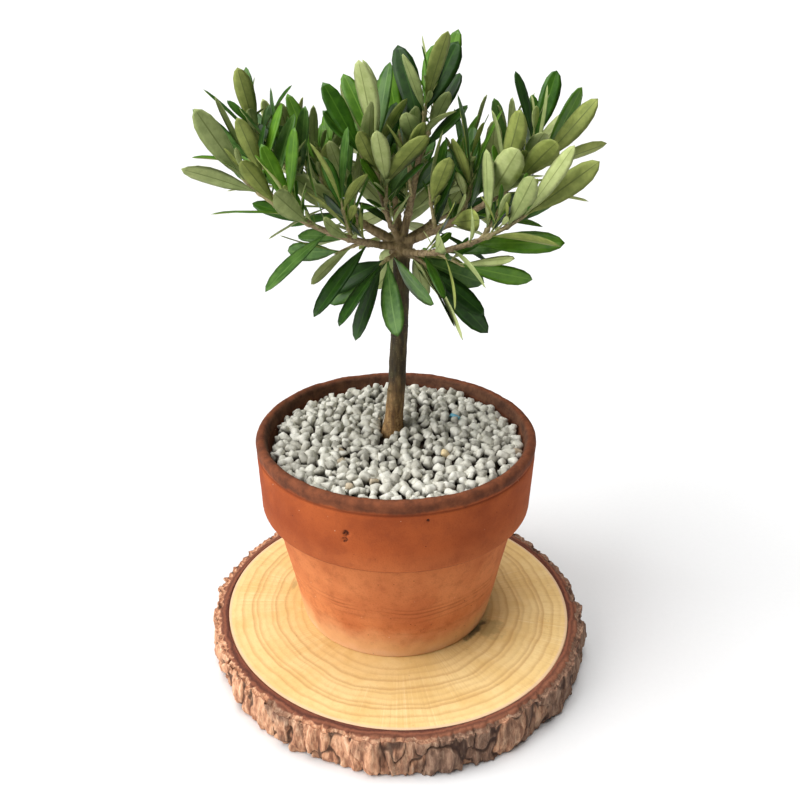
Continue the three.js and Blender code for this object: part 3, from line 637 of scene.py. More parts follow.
def stoneTree():  # a pebble at each place, each tone its own branch
    tree = bpy.data.node_groups.new("laidStones", "GeometryNodeTree")
    entries = [("Places", "Geometry"), ("Roundness", "Float"), ("Unevenness", "Float"), ("Seed", "Int")]
    for name, kind in entries:
        tree.interface.new_socket(name, in_out="INPUT", socket_type="NodeSocket" + kind)
    tree.interface.new_socket("Stones", in_out="OUTPUT", socket_type="NodeSocketGeometry")
    book = NodeBook(tree)
    entry = tree.nodes.new("NodeGroupInput")
    laid, roundness, unevenness, seed = (Wire(book, entry.outputs[name]) for name, _ in entries)

    def geometry(kind, **sockets):
        return book.node("GeometryNode" + kind, sockets=sockets)

    def kept(name, kind):
        return book.node("GeometryNodeInputNamedAttribute", {"data_type": kind}, {"Name": name})

    def random(low, high, number):
        sockets = {0: low, 1: high, "Seed": number}
        return book.node("FunctionNodeRandomValue", {"data_type": "FLOAT_VECTOR"}, sockets)

    points = geometry("MeshToPoints", Mesh=laid)
    tone, size = kept("tone", "INT"), kept("size", "FLOAT")
    turn = random((0, 0, 0), (math.tau, math.tau, math.tau), seed)
    scale = book.vector("SCALE", random(pebble["least"], pebble["most"], seed + 3), Scale=size)
    cuts = {"Vertices " + axis: pebble["cuts"] for axis in "XYZ"}
    block = geometry("MeshCube", Size=(pebble["block"],) * 3, **cuts)
    corner = geometry("InputPosition")
    ball = book.vector("NORMALIZE", corner)
    rounded = book.node("ShaderNodeMix", {"data_type": "VECTOR"}, {0: roundness, 4: corner, 5: ball}, 1)
    stone = geometry("SetPosition", Geometry=block, Position=rounded)
    joined = tree.nodes.new("GeometryNodeJoinGeometry")
    for number, (_, name, light, dark) in enumerate(stoneTones):
        same = {"data_type": "INT", "operation": "EQUAL"}
        chosen = book.node("FunctionNodeCompare", same, {2: tone, 3: number})
        place = {"Points": points, "Selection": chosen, "Rotation": turn, "Scale": scale}
        real = geometry("RealizeInstances", Geometry=geometry("InstanceOnPoints", Instance=stone, **place))
        lumps = {"Scale": pebble["lumpScale"], "Detail": 1.0}
        lumps = book.node("ShaderNodeTexNoise", sockets=lumps, out="Color")
        push = book.vector("SCALE", book.vector("SUBTRACT", lumps, (0.5, 0.5, 0.5)), Scale=unevenness)
        smooth = geometry("SetShadeSmooth", Geometry=geometry("SetPosition", Geometry=real, Offset=push))
        done = geometry("SetMaterial", Geometry=smooth, Material=stoneFinish(name, light, dark))
        tree.links.new(done.socket, joined.inputs[0])
    tree.links.new(joined.outputs[0], tree.nodes.new("NodeGroupOutput").inputs[0])
    return tree


def makeGravelStones():
    places = stonePlaces()
    laid = bpy.data.meshes.new("gravel_stones")
    laid.from_pydata([(x * mm, y * mm, z * mm) for x, y, z, *_ in places], [], [])
    piece = makeObject("gravel_stones", laid)
    mark(piece, "size", [place[3] * mm for place in places])
    mark(piece, "tone", [place[4] for place in places], "INT")
    modifier = piece.modifiers.new("lay", "NODES")
    modifier.node_group = stoneTree()
    for item in modifier.node_group.interface.items_tree:
        if item.name in pebble["inputs"]:
            modifier[item.identifier] = pebble["inputs"][item.name]
    settle(piece)
    seat(piece, "gravel", "gravel")


makePotShell()
makeSoilFill()
makeGravelStones()


# How the tree grows: the same rule and draws as the model's, in millimetres

trunk = {
    "foot": 122, "footX": -2, "footY": 13, "lean": 4.9, "height": 109.1, "footRadius": 4.9, "forkRadius": 4.2,
    "flare": 1.7, "flareReach": 7, "head": 1.7, "headReach": 4.5, "rings": 16, "margin": 1.5,
}
crown = {"radius": 109, "rise": 101, "fall": 61}
twig = {"tipRadius": 0.8, "sideRadius": 0.9, "sideTip": 0.6, "step": 5, "margin": 0.9, "shellSides": 6}
leaf = {
    "size": 42, "sideSize": 0.92, "bend": 0.35, "raise": 0.05, "keel": 0.45, "margin": 0.8, "skyward": 0.25,
    "stations": ((0.1, 0.3), (0.4, 0.92), (0.8, 0.8), (1, 0)),
}
pairs = {"open": (34, 60), "roll": (-30, 30), "sag": (0, 0.16), "wide": (0.22, 0.31)}
endPair = {"open": (12, 26), "roll": (-20, 20), "sag": (0, 0.1), "wide": (0.21, 0.3), "long": (0.75, 1.05)}
upright = {"spin": (-18, 18), "long": (0.76, 1.16), "taper": 0.12, "gap": (8, 11), "endLift": 0.4}
habits = {
    "stem": dict(upright, first=2, lift=(-0.35, 0.6)),
    "side": dict(upright, first=6, lift=(0.45, 0.45)),
    "hanging": {"first": 7.5, "spin": (-25, 25), "long": (0.85, 1.1), "taper": 0, "gap": (4.5, 6.5),
                "lift": (-0.55, -0.55), "endLift": -0.6},
    "fine": dict(upright, first=3, gap=(3, 4.5), long=(0.6, 1.05), lift=(0.2, 0.3)),
}
seedStep, drawFactor, drawRange = 7919, 16807, 2147483647
sky = np.array([0.0, 0.0, 1.0])
east = np.array([1.0, 0.0, 0.0])


def way(azimuth, rise, turn, lift, length, **more):  # degrees, and mm long
    return dict(azimuth=azimuth, rise=rise, turn=turn, lift=lift, length=length, **more)


def limb(*course, bare=0, size=1, hangs=False, sides=(), **more):
    return way(*course, bare=bare, size=size, hangs=hangs, sides=sides, **more)


limbs = {  # each side shoot: how far along the limb, then its course
    "left_low": limb(-140, 10, -56, 30, 88, drop=1, bare=18, radius=2.1, seed=59, sides=(
        (28, -150, 62, 0, 20, 20), (22, -172, -14, 0, -10, 14), (58, -110, 30, 20, 25, 16),
        (68, 170, 55, 0, 20, 16),
    )),
    "left_high": limb(154, 20, 34, 14, 86, drop=0, bare=20, radius=2.3, seed=92, sides=(
        (76, 180, 72, 0, 5, 20), (40, 120, 45, 20, 20, 24), (54, -150, 40, 0, 25, 20),
        (25, 150, 62, 0, 15, 16),
    )),
    "left_up": limb(-143, 56, -10, 36, 52, drop=0, bare=10, radius=1.7, seed=70, sides=(
        (36, 190, 45, 0, 25, 16), (22, -80, 50, 0, 25, 14),
    )),
    "right_high": limb(-38, 25, 50, 14, 82, drop=0, bare=20, radius=2.2, seed=40, sides=(
        (22, -110, 65, -30, 15, 22), (36, 40, 55, 0, 25, 20), (50, -40, 45, 0, 25, 18),
        (68, 30, 58, 0, 15, 20),
    )),
    "right_low": limb(-70, 6, 70, 30, 80, drop=3, bare=20, radius=1.9, seed=22, sides=(
        (30, -20, -15, 0, -10, 14), (46, -50, 25, 0, 25, 16), (56, 40, 35, 0, 25, 18),
    )),
    "leader": limb(20, 76, -60, 8, 68, drop=0, bare=14, radius=2.2, seed=21, size=1.1, sides=(
        (24, -100, 45, 0, 30, 20), (34, 160, 55, 0, 25, 22), (42, 50, 50, 0, 25, 24),
    )),
    "back_left": limb(98, 50, 30, 34, 62, drop=1, bare=14, radius=2, seed=49, sides=(
        (28, 70, 30, 0, 30, 20), (36, 160, 40, 0, 30, 20),
    )),
    "back_right": limb(42, 18, -26, 14, 82, drop=0, bare=20, radius=2.2, seed=58, sides=(
        (30, 40, 70, 30, 20, 18), (44, 80, 45, 0, 30, 22), (60, -10, 50, 0, 25, 18),
    )),
    "back_low": limb(92, 8, 14, 30, 88, drop=3, bare=20, radius=2, seed=61, sides=(
        (34, 50, 30, 0, 30, 20), (46, 135, 50, 0, 30, 20), (58, 85, 55, 0, 20, 18), (24, 85, 70, 0, 15, 16),
    )),
    "back_side": limb(138, 12, 16, 28, 84, drop=2, bare=20, radius=2, seed=14, sides=(
        (38, 175, 40, 0, 30, 18), (50, 90, 55, 0, 30, 20),
    )),
    "hang_left": limb(-120, 4, -10, -20, 17, drop=4, hangs=True, radius=1.3, seed=89, size=1.08),
    "hang_right": limb(-50, 2, 10, -30, 22, drop=4, hangs=True, radius=1.3, seed=45, size=1.05),
    "hang_back": limb(64, -2, 10, -20, 20, drop=5, hangs=True, radius=1.3, seed=97),
}


class Draw:  # the seeded draw
    def __init__(self, seed):
        self.state = seed * seedStep

    def span(self, low, high):
        self.state = self.state * drawFactor % drawRange
        return low + (high - low) * self.state / drawRange


def unit(vector):
    return vector / np.linalg.norm(vector)


forkHeight = trunk["foot"] + trunk["height"]


def trunkCentre(height):
    share = min((height - trunk["foot"]) / trunk["height"], 1)
    return np.array([trunk["footX"] + trunk["lean"] * share * (2 - share), trunk["footY"], height])


def trunkRadius(height):
    above = height - trunk["foot"]
    taper = trunk["footRadius"] + (trunk["forkRadius"] - trunk["footRadius"]) * above / trunk["height"]
    flare = trunk["flare"] * math.exp(-above / trunk["flareReach"])
    head = trunk["head"] * math.exp(-((height - forkHeight) / trunk["headReach"]) ** 2)
    return taper + flare + head


def heading(azimuth, rise):
    turn, tilt = math.radians(azimuth), math.radians(rise)
    return np.array([math.cos(tilt) * math.cos(turn), math.cos(tilt) * math.sin(turn), math.sin(tilt)])


def walk(start, course):
    count = max(2, round(course["length"] / twig["step"]))
    path = [np.array(start, float)]
    for i in range(count):
        share = (i + 0.5) / count
        ahead = heading(course["azimuth"] + course["turn"] * share, course["rise"] + course["lift"] * share)
        path.append(path[-1] + ahead * (course["length"] / count))
    return path


def alongPath(path, distance):
    left = distance
    for i in range(1, len(path)):
        step = np.linalg.norm(path[i] - path[i - 1])
        if left <= step + 1e-6 or i == len(path) - 1:
            direction = (path[i] - path[i - 1]) / step
            return path[i - 1] + direction * min(left, step), direction
        left -= step


def pathLength(path):
    return sum(np.linalg.norm(b - a) for a, b in zip(path, path[1:]))


def limbRings(path, radius, tipRadius, start, end):
    length = pathLength(path)

    def ring(centre, distance):
        return centre, radius + (tipRadius - radius) * distance / length

    rings = [ring(alongPath(path, start)[0], start)]
    distance = 0
    for a, b in zip(path, path[1:]):
        distance += np.linalg.norm(b - a)
        if start + 1 < distance < end - 1:
            rings.append(ring(b, distance))
    return rings + [ring(alongPath(path, end)[0], end)]


def reference(direction):
    return east if abs(direction[2]) >= 0.9 else sky


class Shell:  # a skin of triangles that tells whether it crosses another
    def __init__(self, points, faces):
        self.points = np.array(points)
        faces = np.array(faces)
        ends = np.sort(np.concatenate([faces[:, [0, 1]], faces[:, [1, 2]], faces[:, [2, 0]]]), axis=1)
        ends = np.unique(ends, axis=0)
        self.start, self.stop = self.points[ends[:, 0]], self.points[ends[:, 1]]
        self.a, self.b, self.c = (self.points[faces[:, k]] for k in range(3))
        self.low, self.high = self.points.min(0), self.points.max(0)

    def pierces(self, other):  # an edge of this one goes through a face of the other
        along = (self.stop - self.start)[:, None, :]
        one = (other.b - other.a)[None]
        two = (other.c - other.a)[None]
        away = np.cross(along, two)
        tilt = (one * away).sum(-1)
        flat = np.abs(tilt) < 1e-12
        tilt = np.where(flat, 1, tilt)
        offset = self.start[:, None, :] - other.a[None]
        u = (offset * away).sum(-1) / tilt
        turned = np.cross(offset, np.broadcast_to(one, offset.shape))
        v = (along * turned).sum(-1) / tilt
        share = (two * turned).sum(-1) / tilt
        return bool((~flat & (u >= 0) & (v >= 0) & (u + v <= 1) & (share >= 0) & (share <= 1)).any())

    def crosses(self, other):
        if (self.low > other.high).any() or (other.low > self.high).any():
            return False
        return self.pierces(other) or other.pierces(self)


def bandFaces(rows, across, closed):
    faces = []
    for row in range(rows - 1):
        for i in range(across if closed else across - 1):
            a = row * across + i
            b = row * across + (i + 1) % across
            faces += [(a, b, b + across), (a, b + across, a + across)]
    return faces


def limbShell(rings, margin):
    last = len(rings) - 1
    upwards = reference(unit(rings[1][0] - rings[0][0]))
    sides = twig["shellSides"]
    points = []
    for i, (centre, radius) in enumerate(rings):
        direction = unit(rings[min(i + 1, last)][0] - rings[max(i - 1, 0)][0])
        side = unit(np.cross(direction, upwards))
        other = np.cross(side, direction)
        for k in range(sides):
            angle = 2 * math.pi * k / sides
            points.append(centre + (radius + margin) * (math.cos(angle) * side + math.sin(angle) * other))
    return Shell(points, bandFaces(len(rings), sides, True))


def bladePoint(blade, share):
    bent = blade["sag"] * share
    ahead = blade["direction"] * (blade["length"] * share * (1 - leaf["bend"] * bent))
    return blade["root"] + ahead - blade["face"] * (blade["length"] * bent * share)


def bladeShell(blade):
    side = np.cross(blade["direction"], blade["face"])
    points = []
    for at, wide in leaf["stations"]:
        middle = bladePoint(blade, at)
        half = blade["width"] / 2 * wide
        lift = leaf["raise"] * blade["width"] * wide * blade["face"]
        points += [middle - side * half + lift, middle, middle + side * half + lift]
    return Shell(points, bandFaces(len(leaf["stations"]), 3, False))


def bladeSpace(blade):  # the blade with a margin all round
    side = np.cross(blade["direction"], blade["face"])
    margin = leaf["margin"]
    points = []
    for at, wide in leaf["stations"]:
        middle = bladePoint(blade, at) + (blade["direction"] * margin if at == 1 else 0)
        half = blade["width"] / 2 * wide + margin
        high = leaf["raise"] * blade["width"] * wide + margin
        low = -leaf["keel"] - margin
        for across, lift in ((-half, low), (half, low), (half, high), (-half, high)):
            points.append(middle + side * across + blade["face"] * lift)
    end = (len(leaf["stations"]) - 1) * 4
    closing = [(end, end + 1, end + 2), (end, end + 2, end + 3)]
    return Shell(points, bandFaces(len(leaf["stations"]), 4, True) + closing)


def leafBuds(path, size, habit, draw, bare=0):  # pairs across each other, and a closer pair at the end
    length = pathLength(path)
    footLift, tipLift = habit["lift"]

    def drawn(ranges, long):
        opened = draw.span(*ranges["open"])
        reach = size * draw.span(*long)
        roll = draw.span(*ranges["roll"])
        sag = draw.span(*ranges["sag"])
        return dict(open=opened, length=reach, roll=roll, sag=sag, wide=draw.span(*ranges["wide"]))

    buds = []
    quarter = draw.span(0, 180)
    at = bare + habit["first"]
    while at < length - 2:
        share = at / length
        point, direction = alongPath(path, at)
        for half in (0, 180):
            spin = half + (0 if habit is habits["hanging"] else quarter) + draw.span(*habit["spin"])
            bud = dict(drawn(pairs, habit["long"]), spin=spin, point=point, ahead=direction, at=at, end=False)
            bud["length"] *= 1 - habit["taper"] * share
            bud["lift"] = footLift + (tipLift - footLift) * share
            buds.append(bud)
        quarter += 90
        at += draw.span(*habit["gap"])
    point, direction = alongPath(path, length - 0.8)
    tip = dict(point=point, ahead=direction, at=length, lift=habit["endLift"], end=True)
    for half in (0, 180):
        buds.append(dict(tip, **drawn(endPair, endPair["long"]), spin=half + quarter))
    return buds


def bladeOf(bud, swing, scale):
    ahead = bud["ahead"]
    side = unit(np.cross(ahead, reference(ahead)))
    other = np.cross(ahead, side)
    spin, opened, roll = (math.radians(bud[key]) for key in ("spin", "open", "roll"))
    outward = math.cos(spin) * side + math.sin(spin) * other
    direction = unit(math.cos(opened) * ahead + math.sin(opened) * outward + sky * bud["lift"])
    if swing:
        direction = unit(direction + unit(np.cross(direction, sky)) * swing)
    inner = unit(ahead - direction * np.dot(ahead, direction))
    inner = unit(inner + leaf["skyward"] * (sky - direction * direction[2]))
    face = math.cos(roll) * inner + math.sin(roll) * np.cross(direction, inner)
    length = bud["length"] * scale
    width = length * bud["wide"]
    return dict(bud, root=bud["point"], direction=direction, face=face, length=length, width=width)


def insideCrown(blade):
    tip = bladePoint(blade, 1)
    reach = math.hypot(tip[0], tip[1] - trunk["footY"])
    return reach < crown["radius"] and -crown["fall"] < tip[2] - forkHeight < crown["rise"]


def isFree(owner, shell, space, placed):
    return not any((shell if name == owner else space).crosses(other) for name, other in placed)


tries = ((0, 1), (0.35, 1), (-0.35, 1), (0.6, 0.8), (-0.6, 0.8))  # how far a leaf swings aside, and its scale


def openBuds(buds, owner, placed, shootName):  # a leaf that touches something at every try is left out
    blades = []
    for bud in buds:
        for swing, scale in tries:
            blade = bladeOf(bud, swing, scale)
            shell = bladeShell(blade)
            if insideCrown(blade) and isFree(owner, shell, bladeSpace(blade), placed):
                placed.append((owner, shell))
                blades.append(dict(blade, shoot=shootName))
                break
    return blades


def growCrown():
    heights = [trunk["foot"] + trunk["height"] * k / trunk["rings"] for k in range(trunk["rings"] + 1)]
    rings = [(trunkCentre(height), trunkRadius(height)) for height in heights]
    placed = [("trunk", limbShell(rings, trunk["margin"]))]
    grown = []
    for name, own in limbs.items():
        stem = walk(trunkCentre(forkHeight) - sky * own["drop"], own)
        rings = limbRings(stem, own["radius"], twig["tipRadius"], 0, own["length"])
        placed.append((name, limbShell(rings, 0)))
        grown.append(dict(own, name=name, stem=stem, shoots=[], fine=[], blades=[]))
    for part in grown:
        for at, *course in part["sides"]:
            side = way(*course)
            path = walk(alongPath(part["stem"], at)[0], side)
            rings = limbRings(path, twig["sideRadius"], twig["sideTip"], twig["step"], side["length"])
            shell = limbShell(rings, 0)
            if isFree(part["name"], shell, limbShell(rings, twig["margin"]), placed):
                placed.append((part["name"], shell))
                part["shoots"].append(path)
    for part in grown:
        draw = Draw(part["seed"])
        size = leaf["size"] * part["size"]
        habit = habits["hanging" if part["hangs"] else "stem"]
        buds = [leafBuds(part["stem"], size, habit, draw, part["bare"])]
        buds += [leafBuds(path, size * leaf["sideSize"], habits["side"], draw) for path in part["shoots"]]
        for shootName, row in enumerate(buds):
            part["blades"] += openBuds(row, part["name"], placed, shootName)
    return grown, placed


fine = {
    "seed": 4, "chance": 0.42, "length": (5, 11), "leafSize": (11, 20), "radius": 0.55, "tip": 0.35,
    "least": 2, "forward": 0.8, "upward": 0.5, "start": 0.6, "curve": 0.4,
}


def growFineShoots(grown, placed):  # small shoots from the leaf axils, within the crown's reach
    draw = Draw(fine["seed"])
    for part in grown:
        for blade in list(part["blades"]):
            luck = draw.span(0, 1)
            length = draw.span(*fine["length"])
            size = draw.span(*fine["leafSize"])
            if luck > fine["chance"] or blade["end"] or part["hangs"]:
                continue
            ahead = unit(blade["direction"] * fine["forward"] + blade["ahead"] + sky * fine["upward"])
            start = blade["root"] + ahead * fine["start"]
            path = [start + ahead * length * k / 3 + sky * fine["curve"] * k * k for k in range(4)]
            trial = list(placed)
            leaves = openBuds(leafBuds(path, size, habits["fine"], draw), part["name"], trial, "fine")
            if len(leaves) >= fine["least"]:
                placed[:] = trial
                part["fine"].append(path)
                part["blades"] += leaves


def countLeaves():
    return sum(len(part["blades"]) for part in crownParts)


crownParts, taken = growCrown()
sourceLeaves = countLeaves()
growFineShoots(crownParts, taken)
print("crown:", sourceLeaves, "leaves and", countLeaves() - sourceLeaves, "small")


# Wood of the tree

def smoothPath(path, step):  # the path rounded off, at even steps
    path = np.array(path)
    ends = np.vstack([2 * path[0] - path[1], path, 2 * path[-1] - path[-2]])
    points = []
    for k in range(1, len(ends) - 2):
        before, start, stop, after = ends[k - 1:k + 3]
        count = max(1, round(np.linalg.norm(stop - start) / step))
        for i in range(count):
            t = i / count
            second = 2 * before - 5 * start + 4 * stop - after
            third = 3 * start - before - 3 * stop + after
            points.append(0.5 * (2 * start + (stop - before) * t + second * t * t + third * t ** 3))
    return np.array(points + [path[-1]])


tubeEnds = {"start": 0.4, "tip": 0.7}  # how far each end stands out, as a share of its radius


def travelled(path):  # how far each point is along the path
    return np.concatenate([[0], np.cumsum(np.linalg.norm(np.diff(path, axis=0), axis=1))])


def tube(path, radii, sides):  # a closed limb, with a point at each end
    ahead = np.gradient(path, axis=0)
    ahead /= np.linalg.norm(ahead, axis=1)[:, None]
    side = np.cross(ahead[0], reference(ahead[0]))
    angles = np.linspace(0, 2 * math.pi, sides, endpoint=False)
    points = [path[0] - ahead[0] * radii[0] * tubeEnds["start"]]
    rows = [[0] * sides]
    for centre, direction, radius in zip(path, ahead, radii):
        side = unit(side - direction * np.dot(side, direction))
        other = np.cross(direction, side)
        rows.append(list(range(len(points), len(points) + sides)))
        points.extend(centre + radius * (math.cos(a) * side + math.sin(a) * other) for a in angles)
    rows.append([len(points)] * sides)
    points.append(path[-1] + ahead[-1] * radii[-1] * tubeEnds["tip"])
    return points, ringFaces(rows, sides)


stubs = [  # old cuts: height above the soil, azimuth, rise, length and radius
    (107, -100, 20, 6.2, 1.5), (104, 165, 5, 6.0, 1.3), (106, -20, -5, 6.4, 1.4), (101, 70, 30, 6.0, 1.3),
    (109, -70, 55, 5.5, 1.5), (84, 175, 35, 5.2, 0.9), (52, -30, 30, 5.4, 1.0), (27, -140, 25, 5.8, 1.1),
]
barkMesh = {
    "voxel": 0.5, "trunkStep": 1.5, "trunkSides": 24, "sides": 14, "stubSides": 10, "overlap": 3,
    "hangingBare": 4, "collar": 0.9, "collarReach": 3.5, "smoothing": 3,
    "furrows": 0.2, "knots": 0.3, "pores": 0.16, "headTop": 2.6, "headRound": 0.8,
    "stubTaper": (1.25, 1.15, 1, 0.9),
}


def makeTrunkAndBoughs():
    shape = Shape()
    heights = np.arange(trunk["foot"] - 1, forkHeight + 1, barkMesh["trunkStep"])
    heights = np.concatenate([heights, [forkHeight + barkMesh["headTop"]]])
    path = np.array([np.append(trunkCentre(height)[:2], height) for height in heights])
    radii = np.array([trunkRadius(height) for height in heights])
    radii[-1] *= barkMesh["headRound"]
    shape.add(*tube(path, radii, barkMesh["trunkSides"]))
    for part in crownParts:
        path = smoothPath(part["stem"], 1.2)
        along = travelled(path)
        keep = along <= (part["bare"] or barkMesh["hangingBare"]) + barkMesh["overlap"]
        radii = part["radius"] + (twig["tipRadius"] - part["radius"]) * along / part["length"]
        radii = radii + barkMesh["collar"] * np.exp(-along / barkMesh["collarReach"])
        shape.add(*tube(path[keep], radii[keep], barkMesh["sides"]))
    for height, azimuth, rise, length, radius in stubs:
        centre = trunkCentre(trunk["foot"] + height)
        stub = [centre + heading(azimuth, rise) * length * k / 3 for k in range(4)]
        radii = np.array(barkMesh["stubTaper"]) * radius
        shape.add(*tube(np.array(stub), radii, barkMesh["stubSides"]))
    piece = makeMesh("trunk_and_boughs", shape)
    join = piece.modifiers.new("join", "REMESH")
    join.mode = "VOXEL"
    join.voxel_size = barkMesh["voxel"] * mm
    piece.modifiers.new("blend", "SMOOTH").iterations = barkMesh["smoothing"]
    mesh = settle(piece)
    mesh.polygons.foreach_set("use_smooth", [True] * len(mesh.polygons))
    normals = [vertex.normal.copy() for vertex in mesh.vertices]
    for vertex, normal in zip(mesh.vertices, normals):
        vertex.co += normal * (barkRelief(*(vertex.co / mm)) * mm)
    mesh.materials.append(stemFinish())
    seat(piece, "stem_bark", "trunk", *["bough_" + part["name"] for part in crownParts if not part["hangs"]])


def barkRelief(x, y, z):  # furrows along the stem, knots, and small raised pores
    furrow = barkMesh["furrows"] * soft(x, y, z, 1.3, 8)
    knot = barkMesh["knots"] * soft(x, y, z, 5, 6, (4, 4, 4))
    fromPore = noise.voronoi(Vector((x / 2.6, y / 2.6, z / 2)))[0][0]
    return furrow + knot + barkMesh["pores"] * (1 - ease(fromPore, 0.08, 0.3))


def stemFinish():
    f = Finish("stemBark")
    height = f.axis("Z")
    streaks = f.clouds(2.2, 4, 0.6, f.stretched(1, 1, 0.22))
    blots = f.clouds(7, 3, 0.6)
    f.colour = f.ramp(streaks, (0.28, (34, 26, 14)), (0.5, (62, 50, 27)), (0.72, (98, 84, 54)))
    f.lay(f.rise(blots, 0.5, 0.66) * 0.4, (66, 66, 38))
    # the foot is paler and pitted, and the knuckle at the fork is tan; the heights here are in metres
    foot = 1 - f.rise(height + (blots - 0.5) * 0.03, 0.134, 0.165)
    footBark = f.ramp(streaks, (0.3, (98, 70, 42)), (0.5, (152, 116, 70)), (0.72, (194, 158, 108)))
    f.lay(foot * 0.85, footBark)
    f.lay(foot * f.rise(f.clouds(1.3, 3, 0.7), 0.5, 0.6) * 0.55, (84, 58, 34))
    knuckle = f.rise(height + (blots - 0.5) * 0.012, 0.222, 0.229)
    tan = f.ramp(streaks, (0.3, (94, 76, 50)), (0.5, (144, 122, 86)), (0.75, (184, 162, 122)))
    f.lay(knuckle * 0.85, tan)
    pore = 1 - f.rise(f.cells(1.7, f.stretched(1, 1, 1.4)), 0.08, 0.2)
    f.lay(pore * 0.4, (150, 132, 98))
    return f.surface(0.75 + streaks * 0.2, streaks * 0.6 + blots * 0.4, 0.35)


def twigFinish(name, dark, pale):
    f = Finish(name)
    streaks = f.clouds(1.3, 3, 0.6)
    f.colour = f.mix(f.rise(streaks, 0.3, 0.7), dark, pale)
    return f.surface(0.6 + streaks * 0.2, streaks, 0.12)


twigForm = {"step": 1.3, "sides": 8, "node": 0.32, "nodeReach": 0.9, "olderShare": 0.62}
foliage = ["foliage_" + part["name"] for part in crownParts]


def makeTwigs():
    shape = Shape()
    for part in crownParts:
        start = 1 if part["hangs"] else part["bare"] - 1
        ways = [(part["stem"], part["radius"], twig["tipRadius"], start)]
        ways += [(path, twig["sideRadius"] + 0.1, twig["sideTip"], 0) for path in part["shoots"]]
        for shootName, course in enumerate(ways):
            own = [blade for blade in part["blades"] if blade["shoot"] == shootName]
            nodes = [blade["at"] for blade in own if not blade["end"]]
            addTwig(shape, *course, nodes, min(shootName, 1))
        for path in part["fine"]:
            addTwig(shape, path, fine["radius"], fine["tip"], 0, [], 2)
    finishes = [twigFinish("twigOlder", (114, 94, 66), (170, 148, 112)),
                twigFinish("twigYoung", (144, 128, 86), (190, 174, 128)),
                twigFinish("twigGreen", (134, 142, 78), (178, 182, 116))]
    seat(makeMesh("twigs", shape, *finishes), "stem_bark", *foliage)


def addTwig(shape, path, radius, tip, first, nodes, slotNumber):
    points = smoothPath(path, twigForm["step"])
    along = travelled(points)
    radii = radius + (tip - radius) * along / along[-1]
    for at in nodes:
        radii = radii + twigForm["node"] * np.exp(-((along - at) / twigForm["nodeReach"]) ** 2)
    keep = along >= first
    corners, faces = tube(points[keep], radii[keep], twigForm["sides"])
    slots = [slotNumber] * len(faces)
    if slotNumber == 0:  # the older wood goes over into the young by the last third
        older = round(len(faces) * twigForm["olderShare"])
        slots = [0] * older + [1] * (len(faces) - older)
    shape.add(corners, faces, slots)


# Leaves and buds

bladeForm = {
    "outline": ((0, 0.07), (0.05, 0.09), (0.12, 0.19), (0.24, 0.53), (0.4, 0.84), (0.55, 0.98), (0.69, 1),
                (0.83, 0.86), (0.94, 0.5), (1, 0)),
    "across": (-1, -0.55, -0.06, 0.06, 0.55, 1), "thick": 0.34, "stalk": 0.5, "stalkReach": 0.07, "rib": 0.16,
    "twist": 16, "wave": 0.03, "waves": 9, "fold": (0.02, 0.1), "fullLength": 30, "seed": 31,
    "around": ("upper", "upper", "upperRib", "upper", "upper",
               "under", "under", "underRib", "under", "under"),
}
upperTones = [  # name, dark, pale and rib
    ("leafDeep", (20, 52, 4), (36, 74, 8), (48, 86, 18)),
    ("leafMid", (40, 80, 8), (60, 104, 16), (74, 116, 30)),
    ("leafBright", (68, 112, 14), (90, 134, 26), (104, 146, 42)),
    ("leafSea", (52, 90, 28), (84, 120, 50), (94, 128, 60)),
]
underTones = [
    ("underSage", (136, 150, 88), (162, 174, 110), (116, 128, 70)),
    ("underOlive", (118, 130, 56), (146, 156, 76), (102, 112, 50)),
    ("underPale", (156, 168, 100), (180, 190, 126), (136, 146, 84)),
]
allTones = upperTones + underTones


def leafFinish(name, dark, pale):
    f = Finish(name)
    under = name.startswith("under")
    blots = f.clouds(5, 3, 0.6)
    veins = f.clouds(1.1, 2, 0.5)
    f.colour = f.mix(f.rise(blots, 0.3, 0.7), dark, pale)
    f.lay(f.rise(f.clouds(1.6, 2, 0.5), 0.68, 0.76) * (0.3 if under else 0.12), (98, 84, 40))
    if under:
        return f.surface(0.62 + blots * 0.2, veins, 0.08)
    return f.surface(0.36 + blots * 0.16, veins, 0.06, 0.3)


def leafMesh(one, draw):  # a thin closed blade: upper side, underside and a rib down the middle of each
    twist = math.radians(draw.span(-bladeForm["twist"], bladeForm["twist"]))
    fold = draw.span(*bladeForm["fold"])
    wave, phase = draw.span(0, bladeForm["wave"]), draw.span(0, 6)
    small = min(1, one["length"] / bladeForm["fullLength"])
    rib = bladeForm["rib"] * small
    plain = np.cross(one["direction"], one["face"])
    around = len(bladeForm["around"])
    points, rows = [], []
    for at, wide in bladeForm["outline"]:
        middle = bladePoint(one, at)
        if wide == 0:
            rows.append([len(points)] * around)
            points.append(middle)
            continue
        rows.append(list(range(len(points), len(points) + around)))
        side = plain * math.cos(twist * at) + one["face"] * math.sin(twist * at)
        normal = np.cross(side, one["direction"])
        half = one["width"] / 2 * wide
        stalk = bladeForm["stalk"] * math.exp(-at / bladeForm["stalkReach"])
        thick = (bladeForm["thick"] + stalk) * small / 2
        lower = []
        for u in bladeForm["across"]:
            ripple = wave * math.sin(phase + at * bladeForm["waves"]) * abs(u) ** 2
            spot = middle + side * (u * half) + normal * (one["width"] * (fold * wide * abs(u) + ripple))
            full = thick * math.sqrt(1 - u * u)
            isRib = abs(u) < 0.1
            points.append(spot + normal * (full - (rib * 0.5 if isRib else 0)))
            if abs(u) < 1:
                lower.append(spot - normal * (full + (rib if isRib else 0)))
        points.extend(reversed(lower))
    faces = ringFaces(rows, around) + [tuple(reversed(rows[0]))]
    return points, faces, bladeForm["around"] * (len(rows) - 1) + ("under",)


